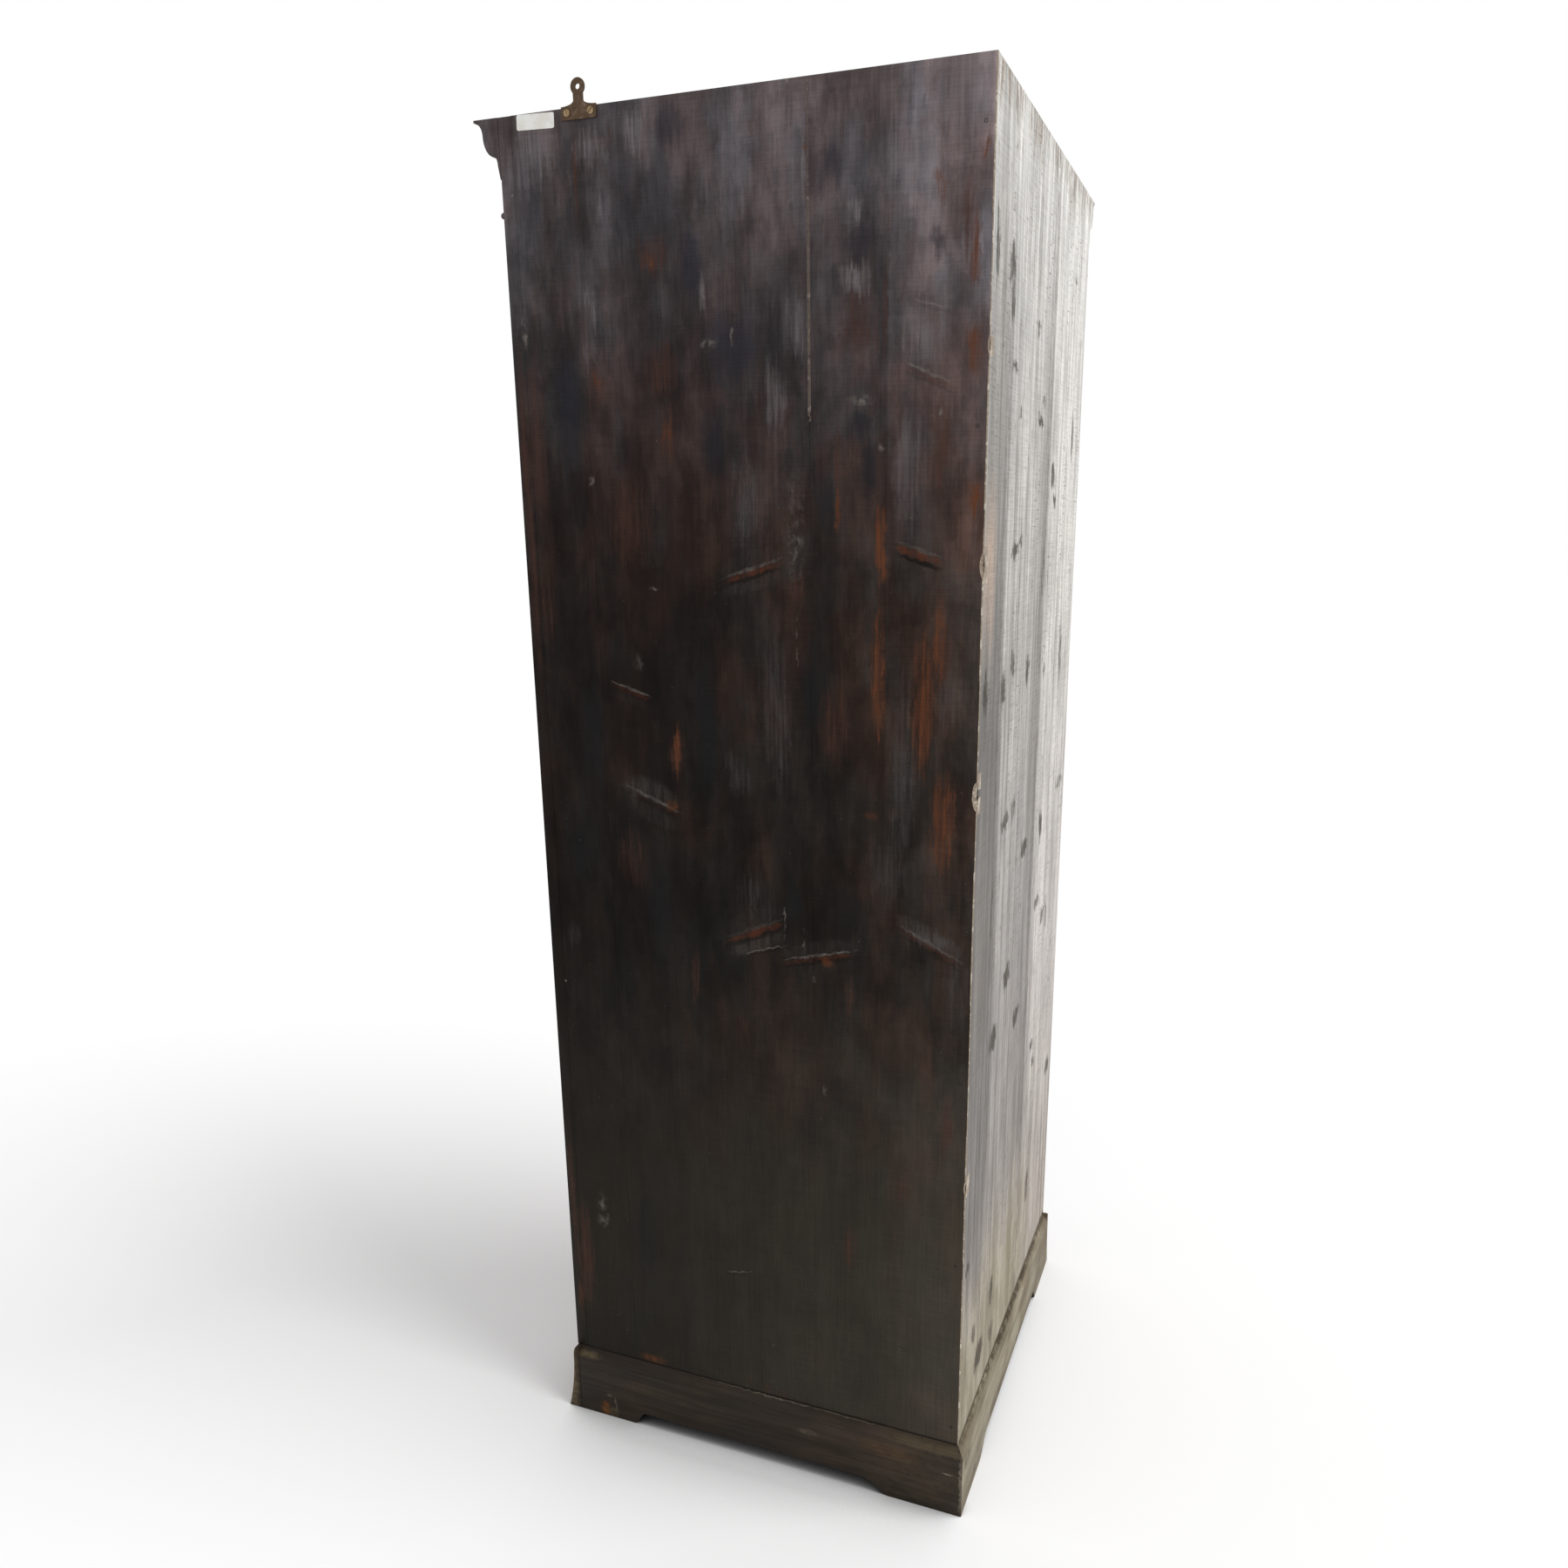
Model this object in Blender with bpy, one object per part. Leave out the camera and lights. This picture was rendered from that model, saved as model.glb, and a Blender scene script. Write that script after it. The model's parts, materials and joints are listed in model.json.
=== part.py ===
"""Corner wardrobe: two plain wall sides, two moulded returns and one panelled door across the corner.

Metres, +Z up. The door faces -Y and the rear corner, which stands in a room's corner, points to +Y.
In plan, u runs from the rear corner along the right wall side and v along the left one.
"""

import math

import bmesh
import bpy
from mathutils import Matrix, Vector

# Carcase
WALL_SIDE = 0.672
RETURN = 0.220
HEIGHT = 2.000
WALL_BOARD = 0.020
SHOW_BOARD = 0.020
RIGHT_JOINTS = (0.232, 0.557)
LEFT_JOINTS = (0.113, 0.402)
TOP_BOARD = 0.018
TOP_RECESS = 0.012
FLOOR_BOARD = 0.018
FIT = 0.0003

# Plinth and bracket feet
PLINTH_HEIGHT = 0.120
PLINTH_BOARD = 0.024
PLINTH_PROUD = 0.010
PLINTH_CHAMFER = 0.014
PLINTH_LAP = 0.007
PLINTH_ROUND = 0.016
PLINTH_FACE = 0.0035
PLINTH_FLARE = 0.0135
PLINTH_BEARING = 0.0045
FOOT_LENGTH = 0.104
OGEE_RUN = 0.020
REAR_FOOT_LENGTH = 0.1185
REAR_OGEE_RUN = 0.046
ARCH_RISE = 0.023
BLOCK_SIDE = 0.055
BLOCK_LIFT = 0.015

# Cornice and astragal, planted on the returns and the front
CORNICE_PROJECTION = 0.038
CORNICE_HEIGHT = 0.074
CORNICE_LIP = 0.003
HOLLOW_DROP = 0.017
OVOLO_PROJECTION = 0.025
OVOLO_DROP = 0.026
STEP_PROJECTION = 0.009
STEP_DROP = 0.011
FOOT_BEAD = 0.004
CORNICE_TOE = 0.001
ASTRAGAL_DROP = 0.118
ASTRAGAL_RADIUS = 0.004

# Front frame and door opening
FRONT_STILE = 0.050
FRIEZE_DROP = 0.020
BOTTOM_RAIL = 0.056
FRAME_TENON = 0.008
FRAME_TENON_LENGTH = 0.025
FRAME_SHOULDER = 0.008
DOOR_GAP = 0.002

# Door
DOOR_THICKNESS = 0.022
DOOR_STILE = 0.080
DOOR_TOP_RAIL = 0.085
DOOR_MIDDLE_RAIL = 0.110
DOOR_BOTTOM_RAIL = 0.125
MIDDLE_RAIL_HEIGHT = 0.700
GROOVE = 0.007
GROOVE_DEPTH = 0.010
PANEL_TONGUE = 0.008
PANEL_FLAT = 0.003
PANEL_BEVEL = 0.038
PANEL_RISE = 0.0022
FIELD_STEP = 0.0014

# Butt hinges, on the left edge of the door
HINGE_HEIGHT = 0.076
HINGE_INSET = 0.180
LEAF = 0.0015
LEAF_WIDTH = 0.017
LEAF_PLAY = 0.0004
KNUCKLE_RADIUS = 0.004
KNUCKLE_CLEARANCE = 0.0005
KNUCKLES = 5
PIN_RADIUS = 0.0019
PIN_PLAY = 0.0003
PIN_COLLAR = 0.0015
PIN_HEAD = 0.003

# Lock, key and keep
LOCK_HEIGHT = 0.990
LOCK_SETBACK = 0.003
LOCK_WIDTH = 0.058
LOCK_BELOW_KEY = 0.022
LOCK_ABOVE_KEY = 0.032
LOCK_DEPTH = 0.013
LOCK_WALL = 0.0015
KEY_BACKSET = 0.036
KEY_STEM = 0.0025
KEY_COLLAR = 0.004
KEY_PLAY = 0.0004
KEY_BIT_REACH = 0.0085
KEY_BIT_WIDTH = 0.0055
KEY_BIT_THICKNESS = 0.0022
KEY_REACH = 0.033
KEY_BOW_RADIUS = 0.0105
KEY_BOW_WIRE = 0.0018
BOLT_RISE = 0.007
BOLT_TALL = 0.014
BOLT_THICK = 0.005
BOLT_LENGTH = 0.054
BOLT_PLAY = 0.0004
BOLT_THROW = 0.014
TALON_WIDTH = 0.008
TALON_DEPTH = 0.0025
KEEP_FLANGE = 0.010
KEEP_WALL = 0.004
KEEP_SETBACK = 0.0005
ESCUTCHEON_WIDTH = 0.022
ESCUTCHEON_TALL = 0.040
ESCUTCHEON = 0.0016

# Drop handle
HANDLE_ABOVE_LOCK = 0.115
HANDLE_PLATE_WIDTH = 0.066
HANDLE_PLATE_TALL = 0.026
HANDLE_PLATE = 0.002
LUG_SPACING = 0.044
LUG_THICKNESS = 0.006
LUG_RADIUS = 0.0048
LUG_STAND = 0.011
BAIL_WIRE = 0.0018
BAIL_PLAY = 0.0004
BAIL_DROP = 0.032
BAIL_OVERHANG = 0.006
BAIL_CORNER = 0.012

# Shelf, battens and coat hooks
SHELF_DROP = 0.360
SHELF = 0.016
SHELF_SETBACK = 0.070
BEARER_TALL = 0.032
BEARER_THICK = 0.018
BATTEN_DROP = 0.140
BATTEN_TALL = 0.078
BATTEN_START = 0.075
BATTEN_LENGTH = 0.500
HOOKS = 3
HOOK_PLATE_WIDTH = 0.018
HOOK_PLATE_TALL = 0.058
HOOK_PLATE = 0.003
HOOK_WIRE = 0.0032
HOOK_KNOB = 0.0062
HOOK_REACH = 0.056
HOOK_LIFT = 0.040
COAT_REACH = 0.032
COAT_DROP = 0.013

# Wall plate, screwed to the outside of the right wall side
PLATE_FROM_CORNER = 0.547
PLATE_WIDTH = 0.052
PLATE_BASE = 0.016
PLATE_SHOULDER = 0.006
PLATE_BELOW_TOP = 0.015
PLATE_NECK = 0.0145
PLATE_EYE_RADIUS = 0.0103
PLATE_EYE_RISE = 0.0225
PLATE_HOLE_RADIUS = 0.0033
PLATE = 0.002

# Steps in a full circle, in a quarter curve and round a small ball
ROUND = 24
CURVE_STEPS = 6
BALL_SIDES = 14
BALL_RINGS = 9
SHARP_ANGLE = math.radians(35)

# Places that follow from the sizes above
MITRE = math.tan(math.radians(22.5))
DIAGONAL = math.sqrt(0.5)
FRONT_DEPTH = (WALL_SIDE + RETURN) * DIAGONAL
HALF_FRONT = (WALL_SIDE - RETURN) * DIAGONAL
REAR_Y = (FRONT_DEPTH + CORNICE_PROJECTION - 2 * PLINTH_PROUD * DIAGONAL) / 2
FRONT_Y = REAR_Y - FRONT_DEPTH
CARCASE_BOTTOM = PLINTH_HEIGHT + FIT
ASTRAGAL_HEIGHT = HEIGHT - ASTRAGAL_DROP
SHELF_HEIGHT = HEIGHT - SHELF_DROP
BATTEN_HEIGHT = SHELF_HEIGHT - BATTEN_DROP
HALF_OPENING = HALF_FRONT - FRONT_STILE
FRIEZE_BOTTOM = ASTRAGAL_HEIGHT - FRIEZE_DROP
BOTTOM_RAIL_TOP = CARCASE_BOTTOM + BOTTOM_RAIL
DOOR_BOTTOM = BOTTOM_RAIL_TOP + DOOR_GAP
DOOR_TOP = FRIEZE_BOTTOM - DOOR_GAP
HALF_DOOR = HALF_OPENING - DOOR_GAP
PIN_X = -HALF_OPENING + DOOR_GAP / 2
PIN_Y = -KNUCKLE_RADIUS - KNUCKLE_CLEARANCE
HINGE_FEET = (DOOR_BOTTOM + HINGE_INSET, DOOR_TOP - HINGE_INSET - HINGE_HEIGHT)
KEY_X = HALF_DOOR - KEY_BACKSET
LOCK_BACK = DOOR_THICKNESS + FIT
LOCK_MIDDLE = LOCK_BACK + LOCK_DEPTH / 2
LOCK_EDGE = HALF_DOOR - LOCK_SETBACK
BOLT_LOW = LOCK_HEIGHT + BOLT_RISE
HANDLE_X = HALF_DOOR - DOOR_STILE / 2
HANDLE_Y = -FIT - HANDLE_PLATE - LUG_STAND
HANDLE_HEIGHT = LOCK_HEIGHT + HANDLE_ABOVE_LOCK
CORNER = Matrix.Translation((0, REAR_Y, 0)) @ Matrix.Rotation(math.radians(-45), 4, "Z")
FRONT = Matrix.Translation((0, FRONT_Y, 0))


def clear_scene():
    for obj in list(bpy.data.objects):
        bpy.data.objects.remove(obj, do_unlink=True)


def finish(name, colour, roughness, metallic=0.0):
    material = bpy.data.materials.new(name)
    material.use_nodes = True
    shader = material.node_tree.nodes["Principled BSDF"]
    shader.inputs["Base Color"].default_value = (*colour, 1)
    shader.inputs["Roughness"].default_value = roughness
    shader.inputs["Metallic"].default_value = metallic
    material.diffuse_color = (*colour, 1)
    return material


def axis_empty(name, place, parent=None):
    """An empty on a joint's axis, which carries the pieces that turn or slide there."""
    empty = bpy.data.objects.new(name, None)
    empty.empty_display_size = 0.05
    bpy.context.scene.collection.objects.link(empty)
    empty.matrix_basis = Matrix.Translation(place)
    if parent:
        empty.parent = parent
        empty.matrix_parent_inverse = parent.matrix_world.inverted()
    bpy.context.view_layer.update()
    return empty


def solid(name, bm, material, drawn_in, carrier=None, smooth=False):
    """Names a finished shape, places it in the frame that it was drawn in and hangs it on its carrier."""
    mesh = bpy.data.meshes.new(name)
    bm.to_mesh(mesh)
    bm.free()
    mesh.materials.append(material)
    if smooth:
        mesh.shade_smooth()
        mesh.set_sharp_from_angle(angle=SHARP_ANGLE)
    obj = bpy.data.objects.new(name, mesh)
    bpy.context.scene.collection.objects.link(obj)
    obj.matrix_basis = drawn_in
    if carrier:
        obj.parent = carrier
        obj.matrix_parent_inverse = carrier.matrix_world.inverted()
    return obj


def combine(bm, tool, operation):
    """Joins tool to bm, or cuts it out, with an exact Boolean."""
    pair = []
    for shape in (bm, tool):
        mesh = bpy.data.meshes.new("shape")
        shape.to_mesh(mesh)
        shape.free()
        obj = bpy.data.objects.new("shape", mesh)
        bpy.context.scene.collection.objects.link(obj)
        pair.append(obj)
    modifier = pair[0].modifiers.new("combine", "BOOLEAN")
    modifier.operation = operation
    modifier.solver = "EXACT"
    modifier.object = pair[1]
    evaluated = pair[0].evaluated_get(bpy.context.evaluated_depsgraph_get())
    result = bmesh.new()
    result.from_mesh(evaluated.to_mesh())
    evaluated.to_mesh_clear()
    for obj in pair:
        mesh = obj.data
        bpy.data.objects.remove(obj, do_unlink=True)
        bpy.data.meshes.remove(mesh)
    return result


def join(bm, *tools):
    for tool in tools:
        bm = combine(bm, tool, "UNION")
    return bm


def cut(bm, *tools):
    for tool in tools:
        bm = combine(bm, tool, "DIFFERENCE")
    return bm


def prism(outline, low, high):
    """A flat outline in X and Y, raised from low to high."""
    bm = bmesh.new()
    base = bm.faces.new([bm.verts.new((x, y, low)) for x, y in outline])
    raised = bmesh.ops.extrude_face_region(bm, geom=[base])
    tops = [item for item in raised["geom"] if isinstance(item, bmesh.types.BMVert)]
    bmesh.ops.translate(bm, verts=tops, vec=(0, 0, high - low))
    bmesh.ops.recalc_face_normals(bm, faces=bm.faces)
    return bm


def standing(bm):
    """Turns a prism up, so that its outline stands in X and Z and its height runs to -Y."""
    bmesh.ops.rotate(bm, verts=bm.verts, matrix=Matrix.Rotation(math.radians(90), 3, "X"))
    return bm


def box(low, high):
    bm = bmesh.new()
    bmesh.ops.create_cube(bm, size=1)
    low = Vector(low)
    size = Vector(high) - low
    bmesh.ops.scale(bm, verts=bm.verts, vec=size)
    bmesh.ops.translate(bm, verts=bm.verts, vec=low + size / 2)
    return bm


def cylinder(radius, centre, length, axis):
    bm = bmesh.new()
    bmesh.ops.create_cone(
        bm, cap_ends=True, segments=ROUND, radius1=radius, radius2=radius, depth=length
    )
    turn = Vector((0, 0, 1)).rotation_difference(Vector(axis)).to_matrix()
    bmesh.ops.rotate(bm, verts=bm.verts, matrix=turn)
    bmesh.ops.translate(bm, verts=bm.verts, vec=centre)
    return bm


def ball(radius, centre):
    bm = bmesh.new()
    bmesh.ops.create_uvsphere(bm, u_segments=BALL_SIDES, v_segments=BALL_RINGS, radius=radius)
    bmesh.ops.translate(bm, verts=bm.verts, vec=centre)
    return bm


def rod(points, radius, closed=False):
    """A round bar bent along points."""
    curve = bpy.data.curves.new("rod", "CURVE")
    curve.dimensions = "3D"
    curve.bevel_depth = radius
    curve.bevel_resolution = 2
    curve.use_fill_caps = not closed
    spline = curve.splines.new("POLY")
    spline.points.add(len(points) - 1)
    for point, place in zip(spline.points, points):
        point.co = (*place, 1)
    spline.use_cyclic_u = closed
    obj = bpy.data.objects.new("rod", curve)
    bpy.context.scene.collection.objects.link(obj)
    evaluated = obj.evaluated_get(bpy.context.evaluated_depsgraph_get())
    bm = bmesh.new()
    bm.from_mesh(evaluated.to_mesh())
    evaluated.to_mesh_clear()
    bpy.data.objects.remove(obj, do_unlink=True)
    bpy.data.curves.remove(curve)
    bmesh.ops.remove_doubles(bm, verts=bm.verts, dist=1e-6)
    bmesh.ops.recalc_face_normals(bm, faces=bm.faces)
    return bm


def loft(first, last):
    """A solid between two rings of as many points."""
    bm = bmesh.new()
    rings = [[bm.verts.new(place) for place in ring] for ring in (first, last)]
    for ring in rings:
        bm.faces.new(ring)
    count = len(first)
    for i in range(count):
        after = (i + 1) % count
        bm.faces.new((rings[0][i], rings[0][after], rings[1][after], rings[1][i]))
    bmesh.ops.recalc_face_normals(bm, faces=bm.faces)
    return bm


def opposite(bm):
    """The same shape on the other wall side: u and v change places in the corner frame."""
    swap = Matrix(((0, -1, 0, 0), (-1, 0, 0, 0), (0, 0, 1, 0), (0, 0, 0, 1)))
    bmesh.ops.transform(bm, matrix=swap, verts=bm.verts)
    bmesh.ops.reverse_faces(bm, faces=bm.faces)
    return bm


def mirrored(bm):
    """The same shape on the left of the front."""
    bmesh.ops.transform(bm, matrix=Matrix.Scale(-1, 4, (1, 0, 0)), verts=bm.verts)
    bmesh.ops.reverse_faces(bm, faces=bm.faces)
    return bm


def plan(points):
    """Plan points (u, v) in the corner frame, whose Y runs out of the right wall side."""
    return [(u, -v) for u, v in points]


def arc(centre, radii, start, end, steps=CURVE_STEPS):
    """Points along an elliptical arc, from start to end in degrees."""
    points = []
    for i in range(steps + 1):
        angle = math.radians(start + (end - start) * i / steps)
        x = centre[0] + radii[0] * math.cos(angle)
        y = centre[1] + radii[1] * math.sin(angle)
        points.append((x, y))
    return points


def ring(centre, radii):
    return arc(centre, radii, 0, 360, ROUND)[:-1]


def ogee(foot, run):
    """The curve from a bracket foot up into the arch, as (distance from the foot's end, height)."""
    steps = [i / CURVE_STEPS for i in range(CURVE_STEPS + 1)]
    return [(foot + run * t, ARCH_RISE * (1 - math.cos(math.pi * t)) / 2) for t in steps]


def arch(start, end, first, last):
    """The rise between two bracket feet, given as (foot, ogee) lengths, as points along the board and up."""
    up = [(start + along, lift) for along, lift in ogee(*first)]
    down = [(end - along, lift) for along, lift in reversed(ogee(*last))]
    return up + down


def bracket(start, end, top, first, last):
    """A board standing on two bracket feet: the outline along its length and up."""
    return [(start, 0), *arch(start, end, first, last), (end, 0), (end, top), (start, top)]


def wall_sides(dark, pale):
    """Boards glued edge to edge. The right side runs to the rear corner and the left one butts on it."""
    front = WALL_SIDE - SHOW_BOARD - FIT
    for side, joints, first, material in (
        ("right", RIGHT_JOINTS, 0, dark),
        ("left", LEFT_JOINTS, WALL_BOARD + FIT, pale),
    ):
        edges = (first, *joints, front)
        for i, place in enumerate(("rear", "middle", "front")):
            start = edges[i] + (FIT if i else 0)
            outline = [(start, 0), (edges[i + 1], 0), (edges[i + 1], WALL_BOARD), (start, WALL_BOARD)]
            board = prism(plan(outline), CARCASE_BOTTOM, HEIGHT)
            if side == "left":
                board = opposite(board)
            solid(f"{side}_side_board_{place}", board, material, CORNER)


def returns(material):
    """The two short sides between a wall and the front, mitred to the front frame."""
    inner = WALL_SIDE - SHOW_BOARD
    outline = [(WALL_SIDE, 0), (WALL_SIDE, RETURN), (inner, RETURN - SHOW_BOARD * MITRE), (inner, 0)]
    solid("right_return", prism(plan(outline), CARCASE_BOTTOM, HEIGHT), material, CORNER)
    board = opposite(prism(plan(outline), CARCASE_BOTTOM, HEIGHT))
    solid("left_return", board, material, CORNER)


def frame_tenon_box(side, low, high, play):
    """The room that a front rail's tenon takes in the stile on one side of the opening."""
    reach = HALF_OPENING + FRAME_TENON_LENGTH + play
    cheek = (SHOW_BOARD - FRAME_TENON) / 2 - play
    near, far = sorted((side * (HALF_OPENING - FRAME_TENON_LENGTH), side * reach))
    return box((near, cheek, low - play), (far, SHOW_BOARD - cheek, high + play))


def front_frame(material):
    rails = {
        "bottom_rail": (CARCASE_BOTTOM, BOTTOM_RAIL_TOP),
        "frieze_rail": (FRIEZE_BOTTOM, HEIGHT),
    }
    tenons = {name: (low + FRAME_SHOULDER, high - FRAME_SHOULDER) for name, (low, high) in rails.items()}
    outer = HALF_FRONT - FIT
    outline = [
        (HALF_OPENING, 0),
        (outer, 0),
        (outer - SHOW_BOARD * MITRE, SHOW_BOARD),
        (HALF_OPENING, SHOW_BOARD),
    ]
    for side, name in ((1, "right_front_stile"), (-1, "left_front_stile")):
        stile = prism(outline, CARCASE_BOTTOM, HEIGHT)
        if side < 0:
            stile = mirrored(stile)
        stile = cut(stile, *(frame_tenon_box(side, low, high, FIT) for low, high in tenons.values()))
        if side < 0:
            for foot in HINGE_FEET:
                stile = cut(stile, leaf_recess(-1, foot))
        solid(name, stile, material, FRONT)
    half = HALF_OPENING - FIT
    for name, (low, high) in rails.items():
        rail = box((-half, 0, low), (half, SHOW_BOARD, high))
        rail = join(rail, *(frame_tenon_box(side, *tenons[name], 0) for side in (1, -1)))
        solid(name, rail, material, FRONT)


def inside_outline(front_setback):
    """The carcase's inside in plan, up to a line set back from the front frame, as (u, v)."""
    wall = WALL_BOARD + FIT
    cheek = WALL_SIDE - SHOW_BOARD - FIT
    reach = WALL_SIDE + RETURN - (SHOW_BOARD + FIT + front_setback) / DIAGONAL
    return [(wall, wall), (cheek, wall), (cheek, reach - cheek), (reach - cheek, cheek), (wall, cheek)]


def boards(material):
    floor_top = CARCASE_BOTTOM + FLOOR_BOARD
    solid("floor_board", prism(plan(inside_outline(0)), CARCASE_BOTTOM, floor_top), material, CORNER)
    top = HEIGHT - TOP_RECESS
    solid("top_board", prism(plan(inside_outline(0)), top - TOP_BOARD, top), material, CORNER)
    shelf = prism(plan(inside_outline(SHELF_SETBACK)), SHELF_HEIGHT, SHELF_HEIGHT + SHELF)
    solid("hat_shelf", shelf, material, CORNER)


def cornice_profile():
    """Lip, hollow, ovolo and a small foot, as (projection, height)."""
    lip = HEIGHT - CORNICE_LIP
    hollow = lip - HOLLOW_DROP
    ovolo = hollow - OVOLO_DROP
    step = ovolo - STEP_DROP
    back = FIT
    points = [(back, HEIGHT), (CORNICE_PROJECTION, HEIGHT)]
    points += arc((CORNICE_PROJECTION, hollow), (OVOLO_PROJECTION - CORNICE_PROJECTION, HOLLOW_DROP), 90, 0)
    round_radii = (OVOLO_PROJECTION - STEP_PROJECTION, -OVOLO_DROP)
    points += arc((STEP_PROJECTION, hollow), round_radii, 0, 90)[1:]
    points += arc((STEP_PROJECTION, step), (FOOT_BEAD - STEP_PROJECTION, STEP_DROP), 90, 0)[1:]
    toe = HEIGHT - CORNICE_HEIGHT
    return points + [(CORNICE_TOE, toe), (back, toe)]


def astragal_profile():
    return arc((FIT, ASTRAGAL_HEIGHT), (ASTRAGAL_RADIUS, ASTRAGAL_RADIUS), 90, -90, 2 * CURVE_STEPS)


def plinth_profile():
    """Rounded top and a hollow face that flares to the foot, as (projection, height)."""
    face_top = PLINTH_HEIGHT - PLINTH_ROUND
    points = [(-PLINTH_LAP, 0), (-PLINTH_LAP, PLINTH_HEIGHT)]
    start = PLINTH_BEARING - PLINTH_LAP
    points += arc((start, face_top), (PLINTH_FACE - start, PLINTH_ROUND), 90, 0)
    radius = (face_top**2 + PLINTH_FLARE**2) / (2 * PLINTH_FLARE)
    for i in range(1, CURVE_STEPS + 1):
        drop = face_top * i / CURVE_STEPS
        flare = radius - math.sqrt(radius**2 - drop**2)
        points.append((PLINTH_FACE + flare, face_top - drop))
    return points


def return_length(profile, beyond_wall):
    """A moulding along the right return, square at the wall and mitred at the front."""
    wall = [(WALL_SIDE + out, beyond_wall, height) for out, height in profile]
    mitre = [(WALL_SIDE + out, -RETURN - out * MITRE + FIT / 2, height) for out, height in profile]
    return loft(wall, mitre)


def front_length(profile):
    ends = []
    for side in (1, -1):
        ends.append([(side * (HALF_FRONT + out * MITRE - FIT / 2), -out, z) for out, z in profile])
    return loft(*ends)


def mouldings(material):
    for name, profile in (("cornice", cornice_profile()), ("astragal", astragal_profile())):
        solid(f"right_{name}", return_length(profile, 0), material, CORNER, smooth=True)
        solid(f"left_{name}", opposite(return_length(profile, 0)), material, CORNER, smooth=True)
        solid(f"front_{name}", front_length(profile), material, FRONT, smooth=True)


def wall_plinth():
    """A bracket board along the right wall side, chamfered along its top and mitred at the rear corner."""
    end = WALL_SIDE - PLINTH_LAP - FIT
    rear_foot = (REAR_FOOT_LENGTH, REAR_OGEE_RUN)
    outline = bracket(-PLINTH_PROUD, end, PLINTH_HEIGHT, rear_foot, (FOOT_LENGTH, OGEE_RUN))
    board = standing(prism(outline, -PLINTH_PROUD, PLINTH_BOARD - PLINTH_PROUD))
    mitre = FIT / 2
    chamfer = Vector((0, PLINTH_CHAMFER, PLINTH_PROUD))
    for place, outward in (((mitre, 0, 0), (-1, -1, 0)), ((0, 0, PLINTH_HEIGHT), chamfer)):
        geometry = [*board.verts, *board.edges, *board.faces]
        bmesh.ops.bisect_plane(board, geom=geometry, plane_co=place, plane_no=outward, clear_outer=True)
        rim = [edge for edge in board.edges if edge.is_boundary]
        bmesh.ops.contextual_create(board, geom=rim)
    bmesh.ops.recalc_face_normals(board, faces=board.faces)
    return board


def plinth(dark, pale, show, rough):
    solid("right_wall_plinth", wall_plinth(), dark, CORNER)
    solid("left_wall_plinth", opposite(wall_plinth()), pale, CORNER)
    profile = plinth_profile()
    solid("right_return_plinth", return_length(profile, PLINTH_PROUD), show, CORNER, smooth=True)
    solid("left_return_plinth", opposite(return_length(profile, PLINTH_PROUD)), show, CORNER, smooth=True)
    foot_out = PLINTH_FACE + PLINTH_FLARE
    foot_end = HALF_FRONT + foot_out * MITRE
    foot = (FOOT_LENGTH, OGEE_RUN)
    below = [(x, z if z else -FIT) for x, z in arch(-foot_end, foot_end, foot, foot)]
    opening = standing(prism(below, -PLINTH_BOARD, PLINTH_BOARD))
    solid("front_plinth", cut(front_length(profile), opening), show, FRONT, smooth=True)
    plinth_blocks(rough)


def plinth_blocks(material):
    """Glue blocks in the corners of the plinth, which carry the floor board."""
    wall = PLINTH_BOARD - PLINTH_PROUD + FIT
    cheek = WALL_SIDE - PLINTH_LAP - FIT
    low = BLOCK_LIFT
    rear = [(wall, wall), (wall + BLOCK_SIDE, wall), (wall, wall + BLOCK_SIDE)]
    solid("rear_plinth_block", prism(plan(rear), low, PLINTH_HEIGHT), material, CORNER)
    side = [(cheek, wall), (cheek, wall + BLOCK_SIDE), (cheek - BLOCK_SIDE, wall)]
    solid("right_plinth_block", prism(plan(side), low, PLINTH_HEIGHT), material, CORNER)
    solid("left_plinth_block", opposite(prism(plan(side), low, PLINTH_HEIGHT)), material, CORNER)


def battens(material, brass):
    """Shelf bearers and hook battens on both wall sides, with their coat hooks."""
    near = WALL_BOARD + FIT
    far = near + BEARER_THICK
    end = BATTEN_START + BATTEN_LENGTH
    outline = plan([(BATTEN_START, near), (end, near), (end, far), (BATTEN_START, far)])
    levels = {
        "shelf_bearer": (SHELF_HEIGHT - FIT - BEARER_TALL, SHELF_HEIGHT - FIT),
        "hook_batten": (BATTEN_HEIGHT, BATTEN_HEIGHT + BATTEN_TALL),
    }
    for name, (low, high) in levels.items():
        solid(f"right_{name}", prism(outline, low, high), material, CORNER)
        solid(f"left_{name}", opposite(prism(outline, low, high)), material, CORNER)
    spacing = BATTEN_LENGTH / HOOKS
    height = BATTEN_HEIGHT + BATTEN_TALL / 2
    for i in range(HOOKS):
        along = BATTEN_START + spacing * (i + 0.5)
        right = Matrix.Translation((along, -far - FIT, height))
        left = Matrix.Translation((far + FIT, -along, height)) @ Matrix.Rotation(math.radians(90), 4, "Z")
        for side, place in (("right", right), ("left", left)):
            solid(f"{side}_coat_hook_{i + 1}", coat_hook(), brass, CORNER @ place, smooth=True)


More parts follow.
